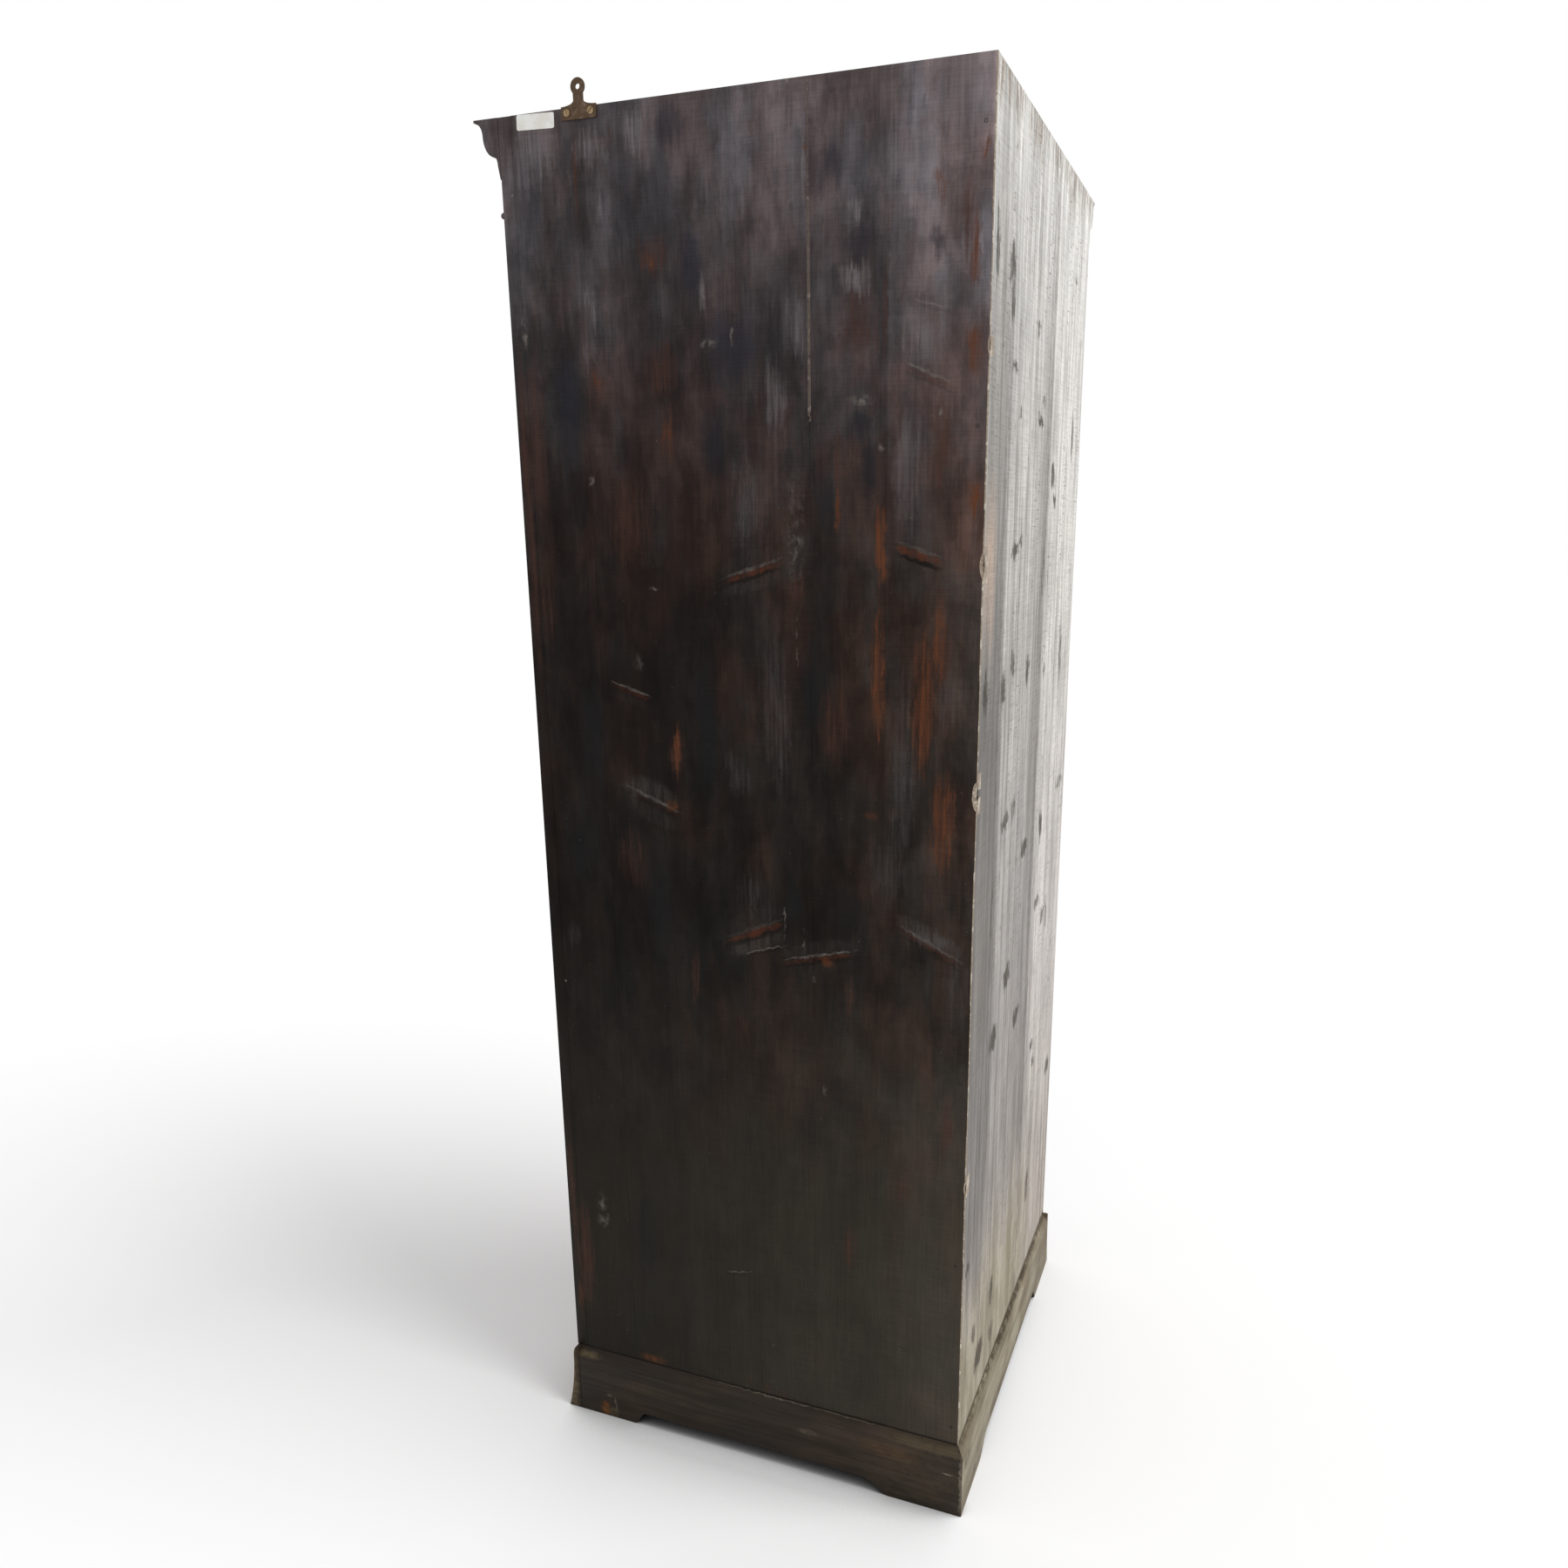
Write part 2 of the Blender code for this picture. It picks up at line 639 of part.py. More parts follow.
def coat_hook():
    """A cast hat and coat hook: a plate with a long upper prong and a short lower one, each with a knob."""
    half = HOOK_PLATE_WIDTH / 2
    straight = HOOK_PLATE_TALL / 2 - half
    outline = arc((0, straight), (half, half), 0, 180) + arc((0, -straight), (half, half), 180, 360)
    plate = standing(prism(outline, 0, HOOK_PLATE))
    hat = arc((0, HOOK_LIFT), (HOOK_REACH, HOOK_LIFT - straight / 2), -90, 0)
    coat = arc((0, 0), (COAT_REACH, COAT_DROP), -90, 20)
    parts = []
    for path in (hat, coat):
        points = [(0, -HOOK_PLATE / 2 - out, up) for out, up in path]
        parts += [rod(points, HOOK_WIRE), ball(HOOK_KNOB, points[-1])]
    return join(plate, *parts)


def leaf_recess(side, foot):
    """The shallow recess for a hinge leaf: in the frame stile for side -1, in the door for side 1."""
    edge = PIN_X + side * DOOR_GAP / 2
    outer = PIN_X + side * (LEAF_PLAY / 2 + LEAF + FIT)
    near, far = sorted((edge - side * DOOR_GAP, outer))
    top = foot + HINGE_HEIGHT + FIT
    return box((near, -KNUCKLE_RADIUS, foot - FIT), (far, LEAF_WIDTH + FIT, top))


def hinge_leaf(side, foot):
    """A leaf with every other knuckle of the hinge, bored for the pin."""
    near, far = sorted((PIN_X + side * LEAF_PLAY / 2, PIN_X + side * (LEAF_PLAY / 2 + LEAF)))
    leaf = box((near, 0, foot), (far, LEAF_WIDTH, foot + HINGE_HEIGHT))
    pitch = HINGE_HEIGHT / KNUCKLES
    first = 0 if side < 0 else 1
    for i in range(first, KNUCKLES, 2):
        low = foot + pitch * i + (FIT if i else 0)
        high = foot + pitch * (i + 1) - (FIT if i < KNUCKLES - 1 else 0)
        middle = (PIN_X, PIN_Y, (low + high) / 2)
        tab = box((near, PIN_Y, low), (far, LEAF_WIDTH / 2, high))
        leaf = join(leaf, tab, cylinder(KNUCKLE_RADIUS, middle, high - low, (0, 0, 1)))
    middle = (PIN_X, PIN_Y, foot + HINGE_HEIGHT / 2)
    return cut(leaf, cylinder(PIN_RADIUS + PIN_PLAY, middle, 2 * HINGE_HEIGHT, (0, 0, 1)))


def hinge_pin(foot):
    """A pin with a ball on its head, standing in the knuckles."""
    middle = (PIN_X, PIN_Y, foot + HINGE_HEIGHT / 2 + FIT)
    pin = cylinder(PIN_RADIUS, middle, HINGE_HEIGHT + 2 * FIT, (0, 0, 1))
    top = foot + HINGE_HEIGHT + FIT
    collar = cylinder(PIN_HEAD, (PIN_X, PIN_Y, top + PIN_COLLAR / 2), PIN_COLLAR, (0, 0, 1))
    return join(pin, collar, ball(PIN_HEAD, (PIN_X, PIN_Y, top + PIN_HEAD)))


def hinges(brass, door):
    for name, foot in zip(("lower_hinge", "upper_hinge"), HINGE_FEET):
        solid(f"{name}_frame_leaf", hinge_leaf(-1, foot), brass, FRONT, smooth=True)
        solid(f"{name}_pin", hinge_pin(foot), brass, FRONT, smooth=True)
        solid(f"{name}_door_leaf", hinge_leaf(1, foot), brass, FRONT, door, smooth=True)


def keyhole(low, high):
    """A round hole for the key's stem over a slot for its bit, through from low to high in Y."""
    radius = KEY_STEM + KEY_PLAY
    middle = (KEY_X, (low + high) / 2, LOCK_HEIGHT)
    slot = KEY_BIT_THICKNESS / 2 + KEY_PLAY
    reach = LOCK_HEIGHT - KEY_BIT_REACH - KEY_PLAY
    hole = cylinder(radius, middle, high - low, (0, 1, 0))
    return join(hole, box((KEY_X - slot, low, reach), (KEY_X + slot, high, LOCK_HEIGHT)))


def door_frame(material, door):
    """Grooved stiles with stub-tenoned rails, and two fielded panels loose in the grooves."""
    middle = DOOR_THICKNESS / 2
    half_groove = GROOVE / 2
    inner = HALF_DOOR - DOOR_STILE
    outline = [
        (HALF_DOOR, 0),
        (HALF_DOOR, DOOR_THICKNESS),
        (inner, DOOR_THICKNESS),
        (inner, middle + half_groove),
        (inner + GROOVE_DEPTH, middle + half_groove),
        (inner + GROOVE_DEPTH, middle - half_groove),
        (inner, middle - half_groove),
        (inner, 0),
    ]
    through = DOOR_THICKNESS + FIT
    lock_stile = cut(prism(outline, DOOR_BOTTOM, DOOR_TOP), keyhole(-FIT, through))
    solid("door_lock_stile", lock_stile, material, FRONT, door)
    recesses = [leaf_recess(1, foot) for foot in HINGE_FEET]
    hinge_stile = cut(mirrored(prism(outline, DOOR_BOTTOM, DOOR_TOP)), *recesses)
    solid("door_hinge_stile", hinge_stile, material, FRONT, door)

    shoulder = inner - FIT
    tenon = inner + GROOVE_DEPTH - FIT
    tongue = half_groove - FIT
    rail_plan = []
    for side in (1, -1):
        step = [
            (side * shoulder, 0),
            (side * shoulder, middle - tongue),
            (side * tenon, middle - tongue),
            (side * tenon, middle + tongue),
            (side * shoulder, middle + tongue),
            (side * shoulder, DOOR_THICKNESS),
        ]
        rail_plan += step if side > 0 else step[::-1]
    rails = {
        "door_bottom_rail": (DOOR_BOTTOM, DOOR_BOTTOM + DOOR_BOTTOM_RAIL),
        "door_middle_rail": (MIDDLE_RAIL_HEIGHT, MIDDLE_RAIL_HEIGHT + DOOR_MIDDLE_RAIL),
        "door_top_rail": (DOOR_TOP - DOOR_TOP_RAIL, DOOR_TOP),
    }
    for name, (low, high) in rails.items():
        rail = prism(rail_plan, low, high)
        grooves = []
        if name != "door_bottom_rail":
            grooves.append((low - GROOVE_DEPTH, low + GROOVE_DEPTH))
        if name != "door_top_rail":
            grooves.append((high - GROOVE_DEPTH, high + GROOVE_DEPTH))
        for start, end in grooves:
            low_corner = (-HALF_DOOR, middle - half_groove, start)
            rail = cut(rail, box(low_corner, (HALF_DOOR, middle + half_groove, end)))
        solid(name, rail, material, FRONT, door)

    bottom, centre, top = rails.values()
    for name, below, above in (("door_lower_panel", bottom, centre), ("door_upper_panel", centre, top)):
        panel = fielded_panel(inner, below[1], above[0], middle, tongue)
        solid(name, panel, material, FRONT, door)


def fielded_panel(half_width, low, high, middle, tongue):
    """A board with thin edges in the grooves, a sloped margin and a raised field towards the front."""
    half = half_width + PANEL_TONGUE
    panel = box((-half, middle - tongue, low - PANEL_TONGUE), (half, middle + tongue, high + PANEL_TONGUE))
    steps = ((PANEL_TONGUE + PANEL_FLAT, 0), (PANEL_BEVEL, PANEL_RISE), (FIELD_STEP / 2, FIELD_STEP))
    front = min(panel.faces, key=lambda face: face.calc_center_median().y)
    for margin, rise in steps:
        bmesh.ops.inset_region(panel, faces=[front], thickness=margin, depth=rise, use_even_offset=True)
    return panel


def lock(iron, brass, door, key_axis, bolt_axis):
    """A rim lock on the back of the door: case, bolt and key, with a keyhole plate outside and a keep."""
    low = (LOCK_EDGE - LOCK_WIDTH, LOCK_BACK, LOCK_HEIGHT - LOCK_BELOW_KEY)
    high = (LOCK_EDGE, LOCK_BACK + LOCK_DEPTH, LOCK_HEIGHT + LOCK_ABOVE_KEY)
    wall = Vector((LOCK_WALL, LOCK_WALL, LOCK_WALL))
    case = cut(box(low, high), box(Vector(low) + wall, Vector(high) - wall))
    slot = bolt_box(LOCK_EDGE - BOLT_LENGTH / 2, LOCK_EDGE + BOLT_LENGTH, BOLT_PLAY)
    case = cut(case, slot, keyhole(LOCK_BACK - FIT, LOCK_BACK + LOCK_WALL + FIT))
    solid("lock_case", case, iron, FRONT, door)

    bolt = bolt_box(LOCK_EDGE - BOLT_LENGTH, LOCK_EDGE, 0)
    talon = KEY_X - BOLT_THROW
    notch = box(
        (talon - TALON_WIDTH / 2, LOCK_BACK, BOLT_LOW - FIT),
        (talon + TALON_WIDTH / 2, LOCK_BACK + LOCK_DEPTH, BOLT_LOW + TALON_DEPTH),
    )
    solid("lock_bolt", cut(bolt, notch), brass, FRONT, bolt_axis)
    solid("key", key(), iron, FRONT, key_axis, smooth=True)

    oval = ring((KEY_X, LOCK_HEIGHT), (ESCUTCHEON_WIDTH / 2, ESCUTCHEON_TALL / 2))
    plate = standing(prism(oval, FIT, FIT + ESCUTCHEON))
    plate = cut(plate, keyhole(-2 * ESCUTCHEON, 0))
    solid("escutcheon", plate, brass, FRONT, door)

    keep_near = HALF_OPENING + KEEP_SETBACK
    mouth_end = LOCK_EDGE + BOLT_THROW + BOLT_PLAY
    keep = box(
        (keep_near, SHOW_BOARD + FIT, BOLT_LOW - KEEP_WALL),
        (mouth_end + KEEP_FLANGE, LOCK_BACK + LOCK_DEPTH, BOLT_LOW + BOLT_TALL + KEEP_WALL),
    )
    mouth = bolt_box(keep_near - KEEP_WALL, mouth_end, BOLT_PLAY)
    solid("lock_keep", cut(keep, mouth), brass, FRONT)


def bolt_box(start, end, play):
    """The bolt's bar, or the slot that it slides in, from start to end across the door."""
    half = BOLT_THICK / 2 + play
    return box(
        (start, LOCK_MIDDLE - half, BOLT_LOW - play),
        (end, LOCK_MIDDLE + half, BOLT_LOW + BOLT_TALL + play),
    )


def key():
    """A stem with a bit in the lock and a ring bow in front of the door."""
    tip = LOCK_BACK + LOCK_DEPTH - LOCK_WALL - 2 * FIT
    bow_near = -KEY_REACH + 2 * KEY_BOW_RADIUS
    stem = cylinder(KEY_STEM, (KEY_X, (tip + bow_near) / 2, LOCK_HEIGHT), tip - bow_near, (0, 1, 0))
    half = KEY_BIT_THICKNESS / 2
    bit_near = LOCK_MIDDLE - KEY_BIT_WIDTH / 2
    bit = box(
        (KEY_X - half, bit_near, LOCK_HEIGHT - KEY_BIT_REACH),
        (KEY_X + half, bit_near + KEY_BIT_WIDTH, LOCK_HEIGHT),
    )
    collar = cylinder(KEY_COLLAR, (KEY_X, bow_near, LOCK_HEIGHT), KEY_STEM, (0, 1, 0))
    centre = (-KEY_REACH + KEY_BOW_RADIUS, LOCK_HEIGHT)
    oval = ring(centre, (KEY_BOW_RADIUS - KEY_BOW_WIRE, KEY_BOW_RADIUS))
    bow = rod([(KEY_X, y, z) for y, z in oval], KEY_BOW_WIRE, closed=True)
    return join(stem, bit, collar, bow)


def handle(brass, door, bail_axis):
    """A drop handle: a plate with two pierced lugs, and a bail that swings in them."""
    half = HANDLE_PLATE_TALL / 2
    straight = HANDLE_PLATE_WIDTH / 2 - half
    outline = arc((straight, 0), (half, half), -90, 90) + arc((-straight, 0), (half, half), 90, 270)
    outline = [(HANDLE_X + x, HANDLE_HEIGHT + z) for x, z in outline]
    plate = standing(prism(outline, FIT, FIT + HANDLE_PLATE))
    plate_front = -FIT - HANDLE_PLATE
    for side in (-1, 1):
        middle = (HANDLE_X + side * LUG_SPACING / 2, HANDLE_Y, HANDLE_HEIGHT)
        lug = cylinder(LUG_RADIUS, middle, LUG_THICKNESS, (1, 0, 0))
        half_web = LUG_RADIUS * DIAGONAL
        web = box(
            (middle[0] - LUG_THICKNESS / 2, HANDLE_Y, HANDLE_HEIGHT - half_web),
            (middle[0] + LUG_THICKNESS / 2, plate_front + HANDLE_PLATE / 2, HANDLE_HEIGHT + half_web),
        )
        plate = join(plate, lug, web)
    bore = cylinder(BAIL_WIRE + BAIL_PLAY, (HANDLE_X, HANDLE_Y, HANDLE_HEIGHT), 2 * LUG_SPACING, (1, 0, 0))
    solid("handle_plate", cut(plate, bore), brass, FRONT, door, smooth=True)

    inner = LUG_SPACING / 2 - LUG_THICKNESS / 2 - BAIL_WIRE
    outer = LUG_SPACING / 2 + LUG_THICKNESS / 2 + BAIL_OVERHANG
    bend = BAIL_OVERHANG / 2
    right = [(inner, 0), (outer - bend, 0)]
    right += arc((outer - bend, -bend), (bend, bend), 90, 0)[1:]
    right += arc((outer - BAIL_CORNER, -BAIL_DROP + BAIL_CORNER), (BAIL_CORNER, BAIL_CORNER), 0, -90)
    path = right + [(-x, z) for x, z in reversed(right)]
    points = [(HANDLE_X + x, HANDLE_Y, HANDLE_HEIGHT + z) for x, z in path]
    solid("handle_bail", rod(points, BAIL_WIRE), brass, FRONT, bail_axis, smooth=True)


def wall_plate(brass):
    """A keyed plate whose eye stands above the carcase, for a screw into the room's wall."""
    low = HEIGHT - PLATE_BELOW_TOP
    eye = HEIGHT + PLATE_EYE_RISE
    shoulder_foot = low + PLATE_BASE
    half = PLATE_WIDTH / 2
    neck = PLATE_NECK / 2
    meet = math.degrees(math.asin(neck / PLATE_EYE_RADIUS)) - 90
    right = [(half, low), (half, shoulder_foot)]
    right += arc((half, shoulder_foot + PLATE_SHOULDER), (half - neck, PLATE_SHOULDER), -90, -180)[1:]
    right += arc((0, eye), (PLATE_EYE_RADIUS, PLATE_EYE_RADIUS), meet, 90, 2 * CURVE_STEPS)[:-1]
    outline = right + [(0, eye + PLATE_EYE_RADIUS)] + [(-x, z) for x, z in reversed(right)]
    outline = [(PLATE_FROM_CORNER + x, z) for x, z in outline]
    plate = standing(prism(outline, -FIT - PLATE, -FIT))
    hole = cylinder(PLATE_HOLE_RADIUS, (PLATE_FROM_CORNER, 0, eye), 4 * PLATE, (0, 1, 0))
    solid("wall_plate", cut(plate, hole), brass, CORNER)


def main():
    clear_scene()
    dark = finish("dark_stained_pine", (0.045, 0.038, 0.034), 0.75)
    pale = finish("limewashed_pine", (0.48, 0.45, 0.39), 0.85)
    show = finish("polished_mahogany", (0.13, 0.045, 0.022), 0.35)
    rough = finish("bare_pine", (0.36, 0.24, 0.13), 0.8)
    brass = finish("aged_brass", (0.36, 0.24, 0.09), 0.45, 1.0)
    iron = finish("dark_iron", (0.09, 0.085, 0.08), 0.5, 1.0)
    wall_sides(dark, pale)
    returns(show)
    front_frame(show)
    boards(rough)
    mouldings(show)
    plinth(dark, pale, show, rough)
    battens(rough, brass)
    door = axis_empty("door_axis", (PIN_X, FRONT_Y + PIN_Y, 0))
    key_axis = axis_empty("key_axis", (KEY_X, FRONT_Y, LOCK_HEIGHT), door)
    bolt_axis = axis_empty("bolt_axis", (LOCK_EDGE, FRONT_Y + LOCK_MIDDLE, BOLT_LOW + BOLT_TALL / 2), door)
    bail_axis = axis_empty("bail_axis", (HANDLE_X, FRONT_Y + HANDLE_Y, HANDLE_HEIGHT), door)
    door_frame(show, door)
    hinges(brass, door)
    lock(iron, brass, door, key_axis, bolt_axis)
    handle(brass, door, bail_axis)
    wall_plate(brass)


main()
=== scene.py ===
import json
import math
import random

import bpy
from mathutils import Matrix, Vector

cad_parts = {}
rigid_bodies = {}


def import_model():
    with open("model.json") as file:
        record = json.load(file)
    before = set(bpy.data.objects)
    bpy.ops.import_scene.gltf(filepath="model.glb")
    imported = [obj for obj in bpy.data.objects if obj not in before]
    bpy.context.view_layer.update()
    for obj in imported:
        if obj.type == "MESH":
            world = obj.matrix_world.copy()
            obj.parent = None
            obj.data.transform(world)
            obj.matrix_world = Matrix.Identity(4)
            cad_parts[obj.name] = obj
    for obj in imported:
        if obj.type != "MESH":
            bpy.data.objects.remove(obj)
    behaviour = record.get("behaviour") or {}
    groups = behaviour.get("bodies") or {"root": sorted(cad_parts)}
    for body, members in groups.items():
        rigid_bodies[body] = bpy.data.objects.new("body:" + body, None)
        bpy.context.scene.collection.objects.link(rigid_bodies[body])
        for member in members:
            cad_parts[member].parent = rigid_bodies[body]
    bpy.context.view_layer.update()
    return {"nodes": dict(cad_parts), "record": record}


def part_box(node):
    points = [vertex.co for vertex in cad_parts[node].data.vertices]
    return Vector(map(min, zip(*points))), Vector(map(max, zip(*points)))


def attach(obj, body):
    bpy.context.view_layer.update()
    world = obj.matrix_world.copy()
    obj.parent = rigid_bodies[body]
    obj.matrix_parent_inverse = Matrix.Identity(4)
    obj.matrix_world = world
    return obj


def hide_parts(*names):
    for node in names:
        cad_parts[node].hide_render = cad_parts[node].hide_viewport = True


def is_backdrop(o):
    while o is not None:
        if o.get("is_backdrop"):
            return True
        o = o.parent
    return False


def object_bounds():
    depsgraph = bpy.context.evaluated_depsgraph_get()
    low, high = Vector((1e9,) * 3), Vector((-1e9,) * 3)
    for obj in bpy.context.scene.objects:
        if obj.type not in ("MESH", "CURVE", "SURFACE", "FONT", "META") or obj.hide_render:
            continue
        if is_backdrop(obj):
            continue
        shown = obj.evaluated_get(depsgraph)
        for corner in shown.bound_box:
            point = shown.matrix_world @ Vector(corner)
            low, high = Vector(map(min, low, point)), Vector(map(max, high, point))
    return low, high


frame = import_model()
NODES = frame["nodes"]
BODY_OF = {node: body for body, nodes in frame["record"]["behaviour"]["bodies"].items() for node in nodes}
CHANCE = random.Random(7)

# The two wall sides meet at a right angle in the rear corner, and the door side faces -Y.
# Wall coordinates are (along the dark side, minus along the pale side, height), from the rear corner's foot.
REAR_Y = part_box("right_side_board_rear")[1].y
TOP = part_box("right_side_board_rear")[1].z
DIAGONAL = math.sqrt(0.5)
WALL_FRAME = Matrix.Translation((0, REAR_Y, 0)) @ Matrix.Rotation(math.radians(-45), 4, "Z")
ALONG_DARK = Vector((DIAGONAL, -DIAGONAL, 0))
ALONG_PALE = Vector((-DIAGONAL, -DIAGONAL, 0))
OUT_OF_DARK = Vector((DIAGONAL, DIAGONAL, 0))
OUT_OF_PALE = Vector((-DIAGONAL, DIAGONAL, 0))
UPRIGHT = Vector((0, 0, 1))
SIDEWAYS = Vector((1, 0, 0))
FRONT = Vector((0, -1, 0))

# Working values of the wood and metal, in metres.
MERGE = 0.00001
FLAT_ANGLE = math.radians(0.5)
EASE_ANGLE = math.radians(35)
SMOOTH_BELOW = math.radians(34)
BOARD_GRID = 0.012
JOINT_ARRIS = 0.0002
JOINT_CLOSE = 0.00012
CORNER_ARRIS = 0.0016
WOOD_ARRIS = 0.0009
MOULDING_ARRIS = 0.0005
METAL_ARRIS = 0.00025
WAVE_LENGTH = 0.16
WAVE_DEPTH = 0.0006
GOUGE_DEPTH = 0.0014
SPLINTER = 0.0012
FILLER_FOOT = 1.609
FILLER_NARROW = 1.87
STAIN_LAP = 0.006
# Chips out of the rear corner's edge: height, depth, half height.
CORNER_CHIPS = (
    (1.432, 0.0050, 0.016), (1.136, 0.0065, 0.020), (1.690, 0.0025, 0.012), (0.560, 0.0028, 0.012),
)

# Heads of screws and pins: radius, rise and dome. Then the sunk screws, and the nails of the rear corner.
BATTEN_HEAD = (0.0036, 0.0006, 0.0004)
HOOK_HEAD = (0.0030, 0.0012, 0.0012)
PLATE_HEAD = (0.0044, 0.0012, 0.0012)
PIN_HEAD = (0.0013, 0.0008, 0.0009)
SUNK_RADIUS = 0.0024
SUNK_DEPTH = 0.0010
NAIL_HEAD = (0.0022, 0.0008)
NAIL_HEIGHTS = (0.150, 0.430, 0.720, 1.016, 1.304, 1.598, 1.930)
NAIL_FROM_CORNER = 0.012
# Where the screws and pins sit: along a wall side, by height, in from an edge, or in a face.
BEARER_SCREWS = (0.12, 0.325, 0.53)
BATTEN_SCREWS = (0.11, 0.2417, 0.4083, 0.54)
HOOKS_ALONG = (0.1583, 0.325, 0.4917)
HOOK_SCREW_HEIGHTS = (1.517, 1.561)
HOOK_FACE = 0.0416
LEAF_SCREW_PARTS = (0.1, 0.5, 0.9)
LEAF_SCREWS = -0.2949
LEAF_FACES = {"frame_leaf": -0.268812, "door_leaf": -0.268412}
CASE_SCREW_INSET = 0.006
KEEP_SCREW_INSET = 0.005
PLATE_SCREW_INSET = 0.0085
OVAL_PIN_INSET = 0.0035
GRIP_PIN_INSET = 0.0048
HANDLE_PLATE_FACE = -0.3057

# Marks on the surfaces, with lengths in millimetres and strengths in percent.
# Tears in the dark side: start and end (along, height), half height,
# then how much bare wood, pale lip, grey scrape above and grey scrape below.
GOUGES = (
    (122, 1457, 46, 1432, 8, 100, 50, 30, 0),
    (372, 1402, 264, 1436, 6.5, 80, 60, 30, 50),
    (114, 1674, 36, 1640, 5.5, 30, 100, 90, 0),
    (104, 1744, 38, 1726, 5, 0, 90, 0, 90),
    (547, 1261, 472, 1238, 5, 40, 100, 0, 20),
    (532, 1108, 430, 1068, 8, 10, 80, 80, 40),
    (378, 886, 268, 932, 8, 80, 30, 30, 80),
    (344, 870, 268, 894, 4, 0, 90, 0, 0),
    (288, 866, 156, 898, 6, 60, 90, 40, 20),
    (116, 946, 4, 892, 6.5, 40, 60, 100, 0),
    (390, 326, 334, 339, 4, 0, 60, 0, 0),
    (102, 274, 80, 266, 3.5, 0, 50, 0, 0),
)
# Other marks there: along, height, half width, half height, strength.
# Light grey patches: grey bloom of the old stain, with a painted sheen that is lighter in the upper part.
BLOOM_AND_SHEEN_MARKS = (
    (270, 1950, 45, 55, 50), (340, 1880, 60, 65, 40), (100, 1900, 60, 100, 60), (50, 1958, 34, 45, 100),
    (470, 1962, 30, 36, 80), (535, 1945, 40, 45, 70), (620, 1950, 55, 65, 80), (170, 1850, 16, 20, 90),
    (172, 1775, 30, 24, 80), (280, 1640, 28, 70, 70), (245, 1900, 20, 60, 60), (325, 1500, 36, 100, 50),
    (100, 1540, 34, 105, 80), (80, 1695, 46, 52, 80), (102, 1170, 34, 190, 65), (38, 1260, 32, 60, 50),
    (282, 1240, 40, 170, 55), (345, 1150, 34, 60, 40), (515, 1105, 36, 24, 40), (62, 930, 52, 26, 80),
    (545, 1770, 16, 40, 60), (550, 1715, 18, 36, 50), (320, 960, 50, 60, 35), (525, 1870, 12, 34, 50),
    (380, 1760, 8, 40, 80), (250, 1740, 30, 60, 50), (630, 860, 24, 40, 35), (120, 1020, 60, 80, 40),
    (30, 1965, 50, 70, 100), (20, 870, 30, 100, 50),
)
BLUE_MARKS = (
    (420, 1965, 30, 45, 90), (395, 1800, 30, 75, 100), (340, 1700, 60, 85, 100), (585, 1630, 36, 150, 80),
    (66, 1812, 18, 28, 90), (200, 1905, 40, 50, 70), (170, 1810, 45, 35, 60), (210, 1512, 30, 50, 90),
    (165, 1592, 32, 36, 90), (370, 1570, 32, 65, 90), (390, 1200, 30, 200, 90), (225, 1265, 40, 100, 100),
    (575, 1170, 40, 150, 80), (475, 930, 45, 170, 80), (185, 955, 45, 60, 80), (262, 960, 26, 55, 80),
    (605, 1000, 50, 130, 60), (530, 360, 40, 160, 50), (240, 640, 30, 100, 40), (150, 1545, 16, 60, 90),
)
RED_MARKS = (
    (26, 1820, 20, 95, 100), (132, 1730, 7, 110, 70), (440, 1680, 40, 50, 80), (540, 1662, 38, 55, 60),
    (435, 1590, 24, 60, 80), (500, 1490, 60, 100, 60), (57, 1570, 24, 80, 90), (198, 1220, 36, 85, 60),
    (50, 1315, 26, 60, 80), (440, 1165, 20, 55, 90), (520, 1000, 46, 75, 40), (420, 830, 12, 75, 70),
    (640, 1600, 24, 180, 50), (645, 300, 26, 140, 90), (60, 720, 20, 65, 80), (30, 650, 18, 75, 80),
    (177, 430, 20, 55, 70), (450, 1820, 40, 34, 90), (520, 1955, 34, 14, 70), (177, 830, 10, 60, 60),
    (255, 1400, 26, 40, 60), (192, 1540, 8, 100, 80), (640, 1380, 26, 140, 40), (160, 1720, 50, 80, 50),
    (345, 760, 30, 60, 30), (95, 540, 30, 50, 40), (300, 130, 100, 20, 40), (557, 1920, 6, 80, 90),
    (662, 1500, 10, 350, 80), (662, 400, 10, 300, 60),
)
ORANGE_MARKS = (
    (20, 1800, 11, 65, 70), (66, 1870, 12, 22, 80), (14, 1515, 14, 26, 90), (20, 1690, 16, 40, 80),
    (135, 1455, 12, 70, 100), (192, 1490, 6, 40, 60), (138, 1290, 16, 130, 80), (75, 1240, 26, 140, 80),
    (44, 1090, 27, 100, 90), (54, 1340, 16, 90, 70), (435, 1600, 11, 32, 50), (440, 1165, 11, 50, 70),
    (542, 1668, 10, 12, 50), (455, 1815, 18, 20, 45), (10, 1905, 10, 20, 60), (658, 240, 8, 120, 40),
)
STAIN_MARKS = (
    (451, 1087, 15, 12, 100), (525, 130, 34, 12, 80), (148, 1098, 16, 8, 40), (237, 1924, 4, 6, 100),
    (210, 877, 14, 9, 80),
)
